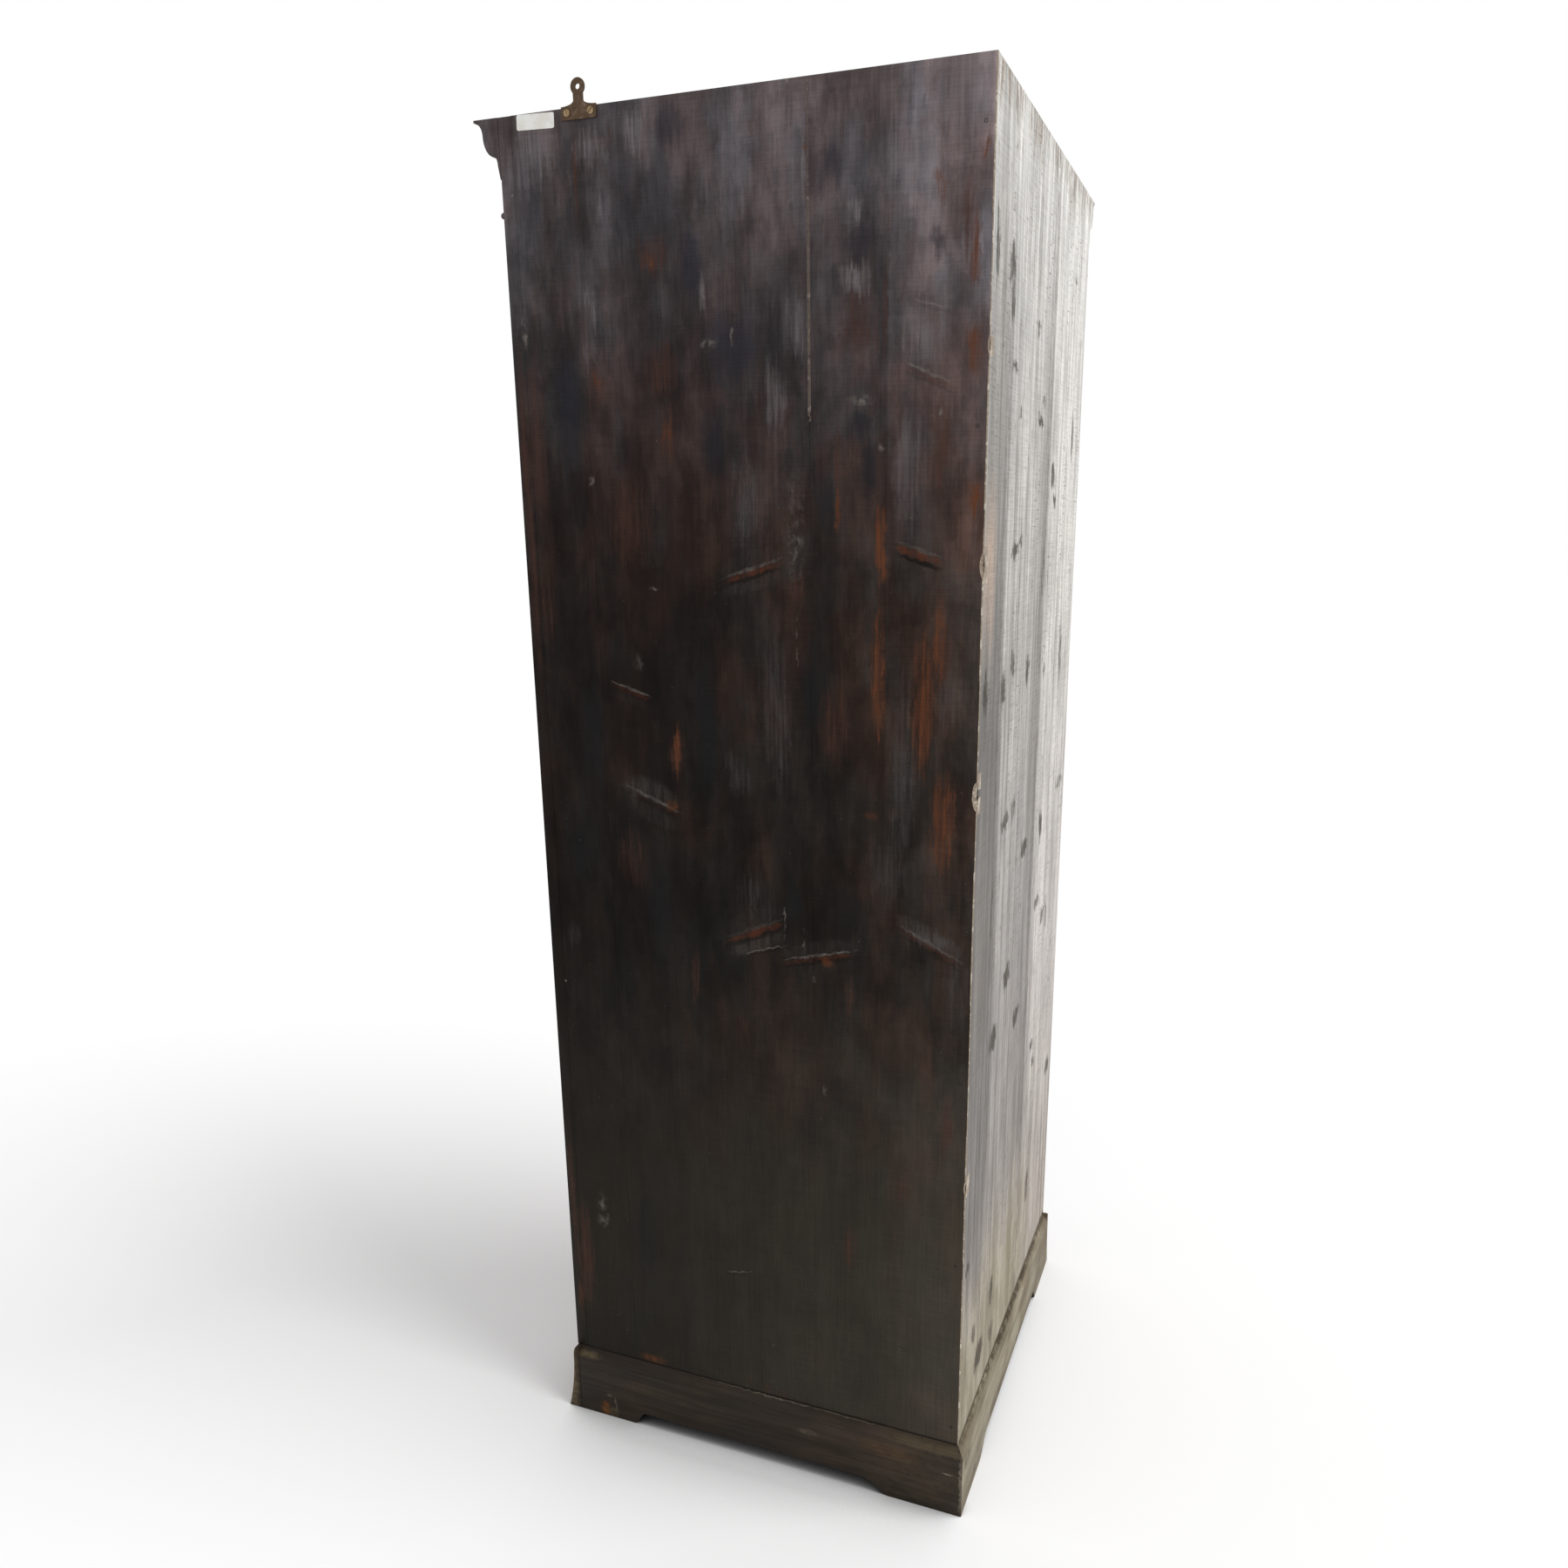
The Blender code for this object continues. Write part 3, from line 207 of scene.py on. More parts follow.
FLECK_MARKS = (
    (163, 1632, 26, 11, 80), (374, 1708, 20, 10, 70), (650, 1738, 7, 32, 100), (606, 390, 16, 45, 60),
    (558, 1538, 7, 11, 80), (466, 1395, 10, 3, 100), (651, 788, 3, 3, 150), (253, 1470, 16, 110, 50),
    (246, 905, 2, 26, 90), (252, 1330, 3, 60, 70), (656, 1905, 3, 3, 130), (555, 1930, 5, 6, 90),
    (259, 1998, 4, 6, 160), (495, 1290, 10, 20, 30), (216, 675, 6, 12, 50), (136, 1575, 5, 8, 80),
    (58, 1615, 4, 8, 90), (276, 930, 2, 50, 80), (378, 1775, 4, 26, 80), (339, 1718, 3, 20, 80),
    (231, 850, 5, 12, 60), (701, 1985, 4, 10, 150), (694, 1972, 4, 5, 130),
)
# Marks on the pale side, given in the same way.
KNOT_MARKS = (
    (178, 1447, 22, 11, 100), (216, 1462, 16, 7, 80), (192, 1290, 15, 22, 90), (136, 1260, 14, 28, 90),
    (297, 1266, 15, 26, 100), (440, 1550, 16, 20, 90), (462, 1518, 16, 11, 90), (325, 1628, 18, 10, 100),
    (346, 1655, 14, 5, 80), (290, 1748, 14, 5, 80), (185, 1627, 8, 7, 90), (110, 1795, 20, 26, 80),
    (120, 1760, 14, 30, 80), (143, 1680, 14, 9, 70), (26, 1800, 10, 50, 70), (595, 1620, 13, 50, 60),
    (570, 1860, 15, 8, 60), (572, 1270, 14, 70, 60), (30, 1270, 18, 34, 80), (325, 985, 26, 14, 100),
    (455, 985, 12, 36, 90), (226, 800, 28, 24, 100), (145, 730, 24, 26, 90), (310, 700, 24, 16, 100),
    (456, 582, 14, 14, 100), (480, 545, 15, 12, 70), (630, 466, 24, 20, 80), (450, 852, 30, 10, 80),
    (506, 812, 18, 18, 70), (545, 800, 9, 36, 60), (115, 200, 34, 26, 90), (75, 266, 15, 18, 80),
    (200, 180, 18, 18, 70), (194, 262, 14, 32, 70), (470, 300, 18, 36, 60), (620, 1030, 40, 14, 60),
    (175, 1060, 30, 12, 80), (230, 1065, 14, 22, 70), (105, 940, 8, 60, 40), (28, 408, 10, 12, 80),
    (385, 1420, 10, 60, 50), (430, 1250, 10, 14, 80),
)
GREY_MARKS = (
    (60, 1700, 60, 350, 60), (375, 1500, 50, 450, 70), (370, 1100, 50, 250, 80), (55, 950, 70, 350, 70),
    (300, 620, 90, 160, 60), (400, 290, 80, 80, 90), (240, 760, 60, 80, 60), (330, 430, 70, 80, 80),
    (570, 300, 14, 200, 70), (570, 1230, 20, 140, 50), (110, 1400, 20, 500, 50), (155, 1150, 10, 120, 50),
    (400, 1000, 12, 600, 50), (600, 1600, 16, 200, 30), (480, 1200, 50, 100, 30),
)
BEIGE_MARKS = ((32, 1430, 52, 180, 100),)
# Marks on the two wall plinths.
# On the dark plinth: pale spots of dust, and a thin pale line along the top of the chamfer.
DUST_AND_PALE_LINE_MARKS = (
    (280, 118.8, 220, 1.2, 35), (245, 78, 24, 8, 20), (596, 28, 3, 16, 40), (608, 42, 8, 4, 30),
    (12, 72, 12, 1.8, 80), (-8, 60, 5, 70, 70),
)
BEIGE_WOOD_MARKS = (
    (645, 110, 30, 8, 70), (30, 110, 130, 14, 40), (602, 10, 14, 12, 70), (682, 60, 18, 120, 100),
    (60, 60, 140, 120, 16),
)
ORANGE_WOOD_MARKS = ((617, 14, 13, 18, 100), (110, 85, 70, 18, 15))
# On the pale plinth: a dark band along the top of the chamfer, painted shadow of the joint under the wall
# side with some dirt, and a faint dark patch near the rear corner.
CHAMFER_SHADOW_AND_DIRT_MARKS = ((330, 118, 600, 9, 100), (30, 60, 40, 60, 30))
DARK_SCUFF_MARKS = (
    (70, 20, 16, 12, 90), (385, 30, 14, 12, 90), (250, 40, 30, 6, 60), (520, 50, 30, 8, 50),
    (20, 85, 30, 16, 80),
)


def in_metres(mark, lengths):
    """A mark with its first few numbers in metres and the others as shares of one."""
    return [value / (1000 if number < lengths else 100) for number, value in enumerate(mark)]


def srgb(red, green, blue):
    """A colour as a paint chart gives it, 0 to 255, as the shader's linear colour."""
    shares = [value / 255 for value in (red, green, blue)]
    return (*[s / 12.92 if s <= 0.04045 else ((s + 0.055) / 1.055) ** 2.4 for s in shares], 1.0)


# Modelling by hand
def only(piece):
    """Makes a piece the one selected and active object."""
    bpy.ops.object.select_all(action="DESELECT")
    piece.select_set(True)
    bpy.context.view_layer.objects.active = piece
    return piece


def named(name):
    """Names the object that was just added, and its mesh."""
    piece = bpy.context.object
    piece.name = piece.data.name = name
    return piece


def edit(piece, kind):
    """Opens a piece for picking points, edges or faces, with nothing picked yet."""
    only(piece)
    bpy.ops.object.mode_set(mode="EDIT")
    bpy.ops.mesh.select_mode(type=kind)
    bpy.ops.mesh.select_all(action="DESELECT")
    bpy.ops.object.mode_set(mode="OBJECT")


def pick_edges(piece, test):
    """Picks in edit mode the edges whose two ends pass a test."""
    edit(piece, "EDGE")
    points = piece.data.vertices
    for edge in piece.data.edges:
        start, end = (points[i].co for i in edge.vertices)
        edge.select = test(start, end)
    bpy.ops.object.mode_set(mode="EDIT")


def pick_faces(piece, test):
    """Picks in edit mode the faces whose middle and normal pass a test."""
    edit(piece, "FACE")
    for face in piece.data.polygons:
        face.select = test(face.center, face.normal)
    bpy.ops.object.mode_set(mode="EDIT")


def pick_all(piece):
    only(piece)
    bpy.ops.object.mode_set(mode="EDIT")
    bpy.ops.mesh.select_all(action="SELECT")


def leave_edit():
    bpy.ops.object.mode_set(mode="OBJECT")


def modify(piece, kind, **settings):
    """Adds a modifier and applies it."""
    only(piece)
    modifier = piece.modifiers.new(kind.lower(), kind)
    for key, value in settings.items():
        setattr(modifier, key, value)
    bpy.ops.object.modifier_apply(modifier=modifier.name)


def settle(piece, place=None):
    """Moves a piece to its place and keeps that place in its mesh."""
    only(piece)
    if place is not None:
        piece.matrix_world = place @ piece.matrix_world
    bpy.ops.object.transform_apply(location=True, rotation=True, scale=True)


def join(pieces, name):
    """Joins pieces into one object of several bodies."""
    only(pieces[0])
    for piece in pieces:
        piece.select_set(True)
    if len(pieces) > 1:
        bpy.ops.object.join()
    return named(name)


def copy_of(piece):
    """A copy with its own mesh."""
    only(piece)
    bpy.ops.object.duplicate(linked=False)
    return bpy.context.object


def cut_out(piece, tools):
    """Cuts tools out of a piece and takes them away."""
    tool = join(tools, "cutter")
    modify(piece, "BOOLEAN", object=tool, operation="DIFFERENCE", solver="EXACT", use_self=True)
    bpy.data.objects.remove(tool)


def mount(piece, body, slot, *finishes):
    """Gives a piece its finishes and its body. The slot is not used."""
    for finish in finishes:
        piece.data.materials.append(finish)
    only(piece)
    bpy.ops.object.shade_smooth_by_angle(angle=SMOOTH_BELOW)
    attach(piece, body)
    return piece


def paint_faces(piece, index, test):
    """Gives the faces that pass a test another of the piece's finishes."""
    pick_faces(piece, test)
    piece.active_material_index = index
    bpy.ops.object.material_slot_assign()
    leave_edit()


def eased(node, arris, slot, *finishes):
    """A copy of a piece with its edges eased, as a plane, a file or long use leaves them."""
    piece = copy_of(NODES[node])
    bpy.ops.object.parent_clear(type="CLEAR_KEEP_TRANSFORM")
    for key in list(piece.keys()):
        del piece[key]
    piece.name = piece.data.name = f"finished_{node}"
    bpy.ops.mesh.customdata_custom_splitnormals_clear()
    piece.data.materials.clear()
    pick_all(piece)
    bpy.ops.mesh.remove_doubles(threshold=MERGE)
    bpy.ops.mesh.dissolve_limited(angle_limit=FLAT_ANGLE)
    leave_edit()
    for finish in finishes:
        piece.data.materials.append(finish)
    modify(piece, "BEVEL", width=arris, segments=2, limit_method="ANGLE", angle_limit=EASE_ANGLE,
           material=len(finishes) - 1)
    mount(piece, BODY_OF[node], slot)
    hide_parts(node)
    return piece


def wall_box(node):
    """A piece's lowest and highest corners in wall coordinates."""
    back = WALL_FRAME.inverted()
    points = [back @ vertex.co for vertex in NODES[node].data.vertices]
    low = Vector([min(p[i] for p in points) for i in range(3)])
    high = Vector([max(p[i] for p in points) for i in range(3)])
    return low, high


# Surface finishes
class Finish:
    """A finish being mixed: a material with one Principled shader, its nodes and its colour so far."""

    def __init__(self, name, **sockets):
        self.colour = None
        self.material = bpy.data.materials.new(name)
        self.material.use_nodes = True
        self.tree = self.material.node_tree
        self.tree.nodes.clear()
        self.shader = self.add("ShaderNodeBsdfPrincipled")
        output = self.add("ShaderNodeOutputMaterial")
        self.tree.links.new(self.shader.outputs[0], output.inputs["Surface"])
        self.place = self.add("ShaderNodeTexCoord").outputs["Object"]
        for key, value in sockets.items():
            self.shader.inputs[key.replace("_", " ")].default_value = value

    def add(self, kind, inputs=None, **settings):
        node = self.tree.nodes.new(kind)
        for key, value in settings.items():
            setattr(node, key, value)
        for key, value in (inputs or {}).items():
            self.feed(node.inputs[key], value)
        return node

    def feed(self, socket, value):
        if isinstance(value, bpy.types.NodeSocket):
            self.tree.links.new(value, socket)
        else:
            socket.default_value = value

    def wall_place(self):
        """Object coordinates turned into wall coordinates."""
        shift = (REAR_Y * DIAGONAL, -REAR_Y * DIAGONAL, 0)
        turn = (0, 0, math.radians(45))
        return self.add("ShaderNodeMapping", {0: self.place, "Location": shift, "Rotation": turn}).outputs[0]

    def grain_place(self, along):
        """Object coordinates as (across the grain, across the grain, along the grain)."""
        across = along.cross(SIDEWAYS if abs(along.z) > 0.5 else UPRIGHT)
        parts = {}
        for axis, direction in enumerate((across, along.cross(across), along)):
            parts[axis] = self.vector("DOT_PRODUCT", self.place, direction)
        return self.add("ShaderNodeCombineXYZ", parts).outputs[0]

    def parts_of(self, place):
        return self.add("ShaderNodeSeparateXYZ", {0: place}).outputs

    def noise(self, place, scale, detail=3.0, roughness=0.55, distortion=0.0, colour=False, start=0.0):
        """Soft noise with so many waves a metre along each axis."""
        inputs = {0: place, "Scale": scale, "Location": (start, start, start)}
        stretched = self.add("ShaderNodeMapping", inputs).outputs[0]
        settings = {"Vector": stretched, "Scale": 1.0, "Detail": detail, "Roughness": roughness}
        node = self.add("ShaderNodeTexNoise", {**settings, "Distortion": distortion})
        return node.outputs["Color" if colour else "Fac"]

    def math(self, operation, first, second=0.0):
        return self.add("ShaderNodeMath", {0: first, 1: second}, operation=operation).outputs[0]

    def times(self, first, second):
        return self.math("MULTIPLY", first, second)

    def vector(self, operation, *values):
        node = self.add("ShaderNodeVectorMath", dict(enumerate(values)), operation=operation)
        return node.outputs["Value" if operation in ("LENGTH", "DOT_PRODUCT") else "Vector"]

    def ramp(self, value, low, high, floor=0.0, top=1.0):
        """A smooth step of a value between two levels."""
        levels = {"Value": value, "From Min": low, "From Max": high, "To Min": floor, "To Max": top}
        return self.add("ShaderNodeMapRange", levels, interpolation_type="SMOOTHSTEP").outputs[0]

    def mix(self, share, under, over, blend="MIX"):
        node = self.add("ShaderNodeMix", data_type="RGBA", blend_type=blend)
        for socket, value in zip((node.inputs[0], node.inputs[6], node.inputs[7]), (share, under, over)):
            self.feed(socket, value)
        return node.outputs[2]

    def lay(self, paint, mask, strength=None, blend="MIX"):
        """Lays a paint over the colour so far, where a mask says."""
        share = mask if strength is None else self.times(mask, strength)
        self.colour = self.mix(share, self.colour, paint, blend)

    def shade(self, value, low, high, dark, light, share=1.0):
        """Makes the colour so far darker or lighter where a value goes from low to high."""
        self.lay(self.ramp(value, low, high, dark, light), share, blend="MULTIPLY")

    def by_height(self, height, stops):
        """A colour or a grey that changes up the wall, given at several heights."""
        ramp = self.add("ShaderNodeValToRGB", {0: self.math("DIVIDE", height, TOP)})
        for number, (level, colour) in enumerate(stops):
            stop = ramp.color_ramp.elements[number] if number < 2 else ramp.color_ramp.elements.new(1.0)
            stop.position = level / TOP
            stop.color = colour if isinstance(colour, tuple) else (colour, colour, colour, 1)
        return ramp.outputs[0]

    def shifted(self, place, offset, by):
        """A place moved by a noise colour, up to so far along each axis."""
        centred = self.vector("SUBTRACT", offset, (0.5, 0.5, 0.5))
        return self.vector("ADD", place, self.vector("MULTIPLY", centred, by))

    def spots(self, place, marks, heart=0.0, pale_side=False, spread=1.0):
        """One mask of several soft spots on a wall side, strongest at their hearts."""
        total = 0.0
        for mark in marks:
            along, height, wide, tall, strength = in_metres(mark, 4)
            across, upwards = 1 / (spread * wide), 1 / (spread * tall)
            scale = Vector((0, across, upwards)) if pale_side else Vector((across, 0, upwards))
            centre = Vector((0, -along, height)) if pale_side else Vector((along, 0, height))
            reach = self.vector("LENGTH", self.vector("MULTIPLY_ADD", place, scale, -centre * scale))
            total = self.math("MAXIMUM", self.ramp(reach, 1.0, heart, 0.0, strength), total)
        return total

    def strokes(self, place, column, thin, drop):
        """One mask along the gouges, thinner than they are and so far below their lines."""
        total = 0.0
        for gouge in GOUGES:
            start, low, end, high, tall, *strengths = in_metres(gouge, 5)
            line = Vector((end - start, 0, high - low))
            across = Vector((-line.z, 0, line.x)).normalized()
            centre = Vector(((start + end) / 2, 0, (low + high) / 2 - drop * tall))
            local = self.vector("SUBTRACT", place, centre)
            lengthwise = self.vector("DOT_PRODUCT", local, 2 * line / line.length_squared)
            crosswise = self.vector("DOT_PRODUCT", local, across / (thin * tall))
            reach = self.math("ADD", self.math("POWER", lengthwise, 2.0), self.math("POWER", crosswise, 2.0))
            total = self.math("MAXIMUM", self.ramp(reach, 1.0, 0.12, 0.0, strengths[column]), total)
        return total

    def broken(self, mask, noise, by):
        """A mask with ragged edges and holes, torn by a noise."""
        level = self.math("ADD", mask, self.times(self.math("SUBTRACT", noise, 0.5), by))
        return self.times(self.ramp(level, -0.05, 0.95), self.ramp(mask, 0.0, 0.25))

    def bump(self, height, depth, under=None):
        inputs = {"Height": height, "Distance": depth}
        if under is not None:
            inputs["Normal"] = under
        return self.add("ShaderNodeBump", inputs).outputs[0]

    def done(self, value, start, end, normal, low=0.3, high=0.7):
        """The finished material: its colour, a roughness that follows a value, and its bumps."""
        roughness = self.ramp(value, low, high, start, end)
        for key, fed in (("Base Color", self.colour), ("Roughness", roughness), ("Normal", normal)):
            self.feed(self.shader.inputs[key], fed)
        return self.material


def dark_stain():
    """Old dark stain on the right wall side: black and blue patches, grey bloom with a painted sheen, worn
    red wood, and painted shade under the tears and along the foot.
    """
    finish = Finish("old_dark_stain", Specular_IOR_Level=0.06)
    wall = finish.wall_place()
    drift = finish.noise(wall, (8, 1, 6), detail=2, colour=True)
    ragged = finish.noise(wall, (60, 1, 80), detail=5, roughness=0.65, colour=True)
    strands = finish.noise(wall, (150, 1, 5), detail=4, roughness=0.65, colour=True)
    patchy = finish.shifted(finish.shifted(wall, drift, (0.014, 0, 0.06)), ragged, (0.012, 0, 0.030))
    brushed = finish.shifted(patchy, strands, (0.002, 0, 0.070))
    torn = finish.shifted(wall, finish.noise(wall, (110, 1, 110), detail=4, colour=True), (0.012, 0, 0.010))
    along, _, height = finish.parts_of(brushed)
    broad = finish.noise(brushed, (8, 1, 3.4), detail=5, roughness=0.6)
    columns = finish.noise(brushed, (38, 1, 4), detail=5, roughness=0.62)
    small = finish.noise(brushed, (46, 1, 15), detail=5, roughness=0.62)
    blotch = finish.noise(patchy, (19, 1, 12), detail=5, roughness=0.6, start=6.1)
    hue = finish.noise(patchy, (17, 1, 7), detail=5, roughness=0.6, start=3.7)
    rust = finish.noise(brushed, (130, 1, 20), detail=6, roughness=0.7)
    brush = finish.noise(wall, (210, 1, 6), detail=4, roughness=0.6)
    grain = finish.noise(wall, (620, 1, 14), detail=3)
    weave = finish.noise(wall, (14, 1, 520), detail=2)
    dabs = finish.noise(torn, (90, 1, 60), detail=5, roughness=0.65)
    calm = finish.ramp(height, 0.45, 1.0, 0.26, 1.0)

    finish.colour = finish.by_height(height, (
        (0.0, srgb(51, 47, 41)), (0.45, srgb(50, 46, 39)), (0.65, srgb(46, 40, 35)),
        (0.85, srgb(31, 27, 24)), (1.15, srgb(35, 29, 26)), (1.45, srgb(46, 38, 35)),
        (1.70, srgb(58, 53, 54)), (1.97, srgb(86, 81, 84)),
    ))
    finish.shade(along, 0.62, 0.04, 0.56, 1.24, finish.ramp(height, 1.45, 1.85, 1.0, 0.15))
    for waves, dark, light in (
        (broad, 0.62, 1.40), (blotch, 0.72, 1.28), (columns, 0.84, 1.16), (small, 0.84, 1.16),
    ):
        finish.shade(waves, 0.34, 0.66, dark, light, calm)
    tint = finish.mix(finish.ramp(hue, 0.38, 0.62), (1.20, 0.94, 0.84, 1), (0.90, 0.97, 1.00, 1))
    finish.lay(tint, calm, finish.ramp(height, 1.45, 1.80, 1.0, 0.6), "MULTIPLY")
    flat_along, _, flat_height = finish.parts_of(wall)
    seam = finish.times(finish.ramp(flat_along, 0.1292, 0.1262), finish.ramp(flat_height, 0.85, 1.05))
    finish.shade(seam, 0.0, 1.0, 0.95, 1.20)
    # Much lighter near the rear corner towards the top: a painted sheen.
    finish.shade(flat_along, 0.14, 0.006, 1.0, 2.5, finish.ramp(flat_height, 1.4, 1.95, 0.3, 1.0))

    streaky = finish.ramp(brush, 0.38, 0.60, 0.40, 1.0)
    bloom_and_sheen = finish.times(finish.broken(finish.spots(brushed, BLOOM_AND_SHEEN_MARKS), rust, 1.8), streaky)
    blue = finish.broken(finish.spots(brushed, BLUE_MARKS), small, 1.4)
    red = finish.times(finish.broken(finish.spots(brushed, RED_MARKS), rust, 1.8), streaky)
    orange = finish.times(finish.broken(finish.spots(brushed, ORANGE_MARKS), rust, 2.6), streaky)
    upper = finish.ramp(height, 1.35, 1.8)
    finish.lay(finish.mix(upper, srgb(25, 25, 26), srgb(41, 40, 48)), blue, 0.75)
    finish.lay(srgb(70, 46, 38), red, 0.8)
    # Light grey patches, lighter up the wall: grey bloom with a painted sheen.
    finish.lay(finish.mix(upper, srgb(74, 70, 69), srgb(116, 109, 112)), bloom_and_sheen, 0.75)
    finish.lay(srgb(96, 56, 35), orange)

    smear = finish.math("MAXIMUM", finish.strokes(torn, 2, 2.4, -2.4), finish.strokes(torn, 3, 2.0, 2.2))
    finish.lay(srgb(86, 81, 78), finish.times(smear, finish.ramp(rust, 0.36, 0.66, 0.1, 1.0)), 0.38)
    # A dark line just under each tear: painted shade under the torn edge.
    finish.lay(srgb(20, 13, 10), finish.strokes(torn, 0, 0.55, 1.1), 0.8)
    bare = finish.times(finish.strokes(torn, 0, 0.8, 0.1), finish.ramp(dabs, 0.38, 0.62, 0.25, 1.0))
    finish.lay(srgb(92, 48, 30), bare, 0.75)
    lip = finish.times(finish.strokes(torn, 1, 0.46, -0.8), finish.ramp(dabs, 0.34, 0.64, 0.2, 1.0))
    finish.lay(srgb(112, 106, 101), lip, 0.65)
    worn_spots = finish.times(finish.spots(torn, STAIN_MARKS), finish.ramp(dabs, 0.34, 0.58, 0.3, 1.0))
    finish.lay(srgb(102, 60, 34), worn_spots, 0.75)
    fleck = finish.times(finish.spots(torn, FLECK_MARKS, heart=0.1), finish.ramp(dabs, 0.44, 0.64))
    finish.lay(srgb(122, 115, 109), fleck, 0.7)
    specks = finish.noise(wall, (310, 1, 160), detail=2)
    finish.lay(srgb(128, 116, 106), finish.ramp(specks, 0.735, 0.775, 0, 0.55))
    for waves in (brush, grain, weave):
        finish.shade(waves, 0.3, 0.7, 0.93, 1.07)
    # A dark line along the foot, just above the plinth: painted shadow of the joint.
    finish.lay(srgb(16, 12, 10), finish.ramp(flat_height, 0.1245, 0.1212, 0, 0.8))
    normal = finish.bump(grain, 0.00012, finish.bump(brush, 0.0002))
    return finish.done(bloom_and_sheen, 0.46, 0.64, normal, 0.0, 0.8)


def limewash():
    """Old limewash on the left wall side: boards of different greys, knots, streaks, a khaki foot, and
    painted shade low down and above the plinth.
    """
    finish = Finish("old_limewash", Specular_IOR_Level=0.1)
    wall = finish.wall_place()
    rough = finish.shifted(wall, finish.noise(wall, (1, 75, 38), detail=2, colour=True), (0, 0.030, 0.040))
    rough = finish.shifted(rough, finish.noise(wall, (1, 210, 130), detail=4, colour=True), (0, 0.018, 0.02))
    soft = finish.shifted(wall, finish.noise(wall, (1, 30, 3), detail=3, colour=True), (0, 0.03, 0.25))
    streaks = finish.noise(wall, (1, 70, 1.6), detail=5, roughness=0.62)
    grain = finish.noise(wall, (1, 380, 7), detail=4, roughness=0.6)
    wear = finish.noise(wall, (1, 150, 24), detail=5, roughness=0.65)
    saw = finish.noise(wall, (1, 12, 420), detail=3)
    mottle = finish.noise(soft, (1, 26, 6), detail=4)
    _, board, foot = finish.parts_of(wall)
    _, along, height = finish.parts_of(soft)

    # Darker towards the bottom: partly painted shade from the light falling off downwards, and partly dirt.
    finish.colour = finish.by_height(height, (
        (0.0, srgb(158, 149, 137)), (0.35, srgb(174, 167, 161)), (0.65, srgb(194, 188, 184)),
        (1.05, srgb(200, 195, 191)), (1.50, srgb(211, 208, 203)), (1.95, srgb(222, 220, 216)),
    ))
    grey_board = finish.by_height(height, (
        (0.0, 0.66), (0.30, 0.80), (0.50, 0.41), (0.90, 0.34),
        (1.20, 0.28), (1.50, 0.45), (1.70, 0.58), (1.95, 0.82),
    ))
    light_board = finish.by_height(height, (
        (0.0, 0.78), (0.30, 0.84), (0.50, 0.62), (0.90, 0.66),
        (1.25, 0.72), (1.50, 0.78), (1.70, 0.80), (1.95, 0.88),
    ))
    middle_height = finish.times(finish.ramp(height, 0.30, 0.60), finish.ramp(height, 1.95, 1.65))
    finish.lay(grey_board, finish.ramp(board, -0.1148, -0.1115), blend="MULTIPLY")
    finish.shade(board, -0.018, -0.006, 1.0, 1.15)
    second = finish.times(finish.ramp(board, -0.1115, -0.1148), finish.ramp(board, -0.4038, -0.4008))
    finish.lay(light_board, second, blend="MULTIPLY")
    second = finish.times(second, middle_height)
    for start, end, dark in ((-0.27, -0.39, 0.78), (-0.16, -0.11, 0.72)):
        finish.shade(finish.times(second, finish.ramp(along, start, end)), 0, 1, 1.0, dark)
    third = finish.times(finish.ramp(along, -0.46, -0.41), finish.ramp(board, -0.4008, -0.4038))
    finish.shade(finish.times(third, middle_height), 0, 1, 1.0, 0.78)
    finish.shade(streaks, 0.32, 0.68, 0.76, 1.20)
    finish.shade(mottle, 0.3, 0.7, 0.84, 1.14)

    finish.lay(srgb(138, 131, 125), finish.spots(soft, GREY_MARKS, pale_side=True), 0.5)
    finish.lay(srgb(190, 168, 152), finish.spots(soft, BEIGE_MARKS, pale_side=True), 0.75)
    khaki = finish.times(finish.ramp(height, 0.44, 0.24), finish.ramp(along, -0.56, -0.38))
    earth = finish.mix(finish.ramp(mottle, 0.34, 0.66), srgb(138, 130, 108), srgb(172, 165, 146))
    finish.lay(earth, khaki, 0.75)
    dashes = finish.ramp(finish.noise(wall, (1, 50, 300), detail=3), 0.57, 0.66)
    here = finish.ramp(finish.noise(wall, (1, 18, 5), detail=3, start=2.3), 0.46, 0.64, 0.1, 0.7)
    finish.lay(srgb(112, 105, 98), dashes, here)
    knots = finish.broken(finish.spots(rough, KNOT_MARKS, 0.35, True, 1.2), wear, 2.4)
    finish.lay(srgb(62, 56, 49), knots, 0.85)
    edges = 0.0
    for joint, reach in ((0.109, 0.014), (0.392, 0.024)):
        away = finish.math("ABSOLUTE", finish.math("ADD", board, joint))
        edges = finish.math("MAXIMUM", finish.ramp(away, reach, 0.0), edges)
    finish.lay(srgb(100, 93, 86), finish.times(edges, finish.ramp(wear, 0.46, 0.62)), 0.6)
    finish.lay(srgb(116, 108, 99), finish.ramp(wear, 0.56, 0.69, 0, 0.68))
    lines = finish.noise(wall, (1, 110, 2.0), detail=3)
    finish.lay(srgb(116, 109, 102), finish.ramp(lines, 0.58, 0.66, 0, 0.5))
    top = finish.times(finish.ramp(height, TOP - 0.06, TOP), finish.ramp(wear, 0.42, 0.56))
    finish.lay(srgb(120, 96, 72), top, 0.6)
    finish.shade(grain, 0.3, 0.7, 0.86, 1.08)
    finish.shade(saw, 0.3, 0.7, 0.90, 1.05)
    # A dark line at the foot, just above the plinth: painted shadow of the gap there.
    finish.lay(srgb(60, 50, 38), finish.ramp(foot, 0.130, 0.1215, 0, 0.9))
    normal = finish.bump(grain, 0.00025, finish.bump(wear, 0.0003))
    return finish.done(wear, 0.72, 0.9, normal)


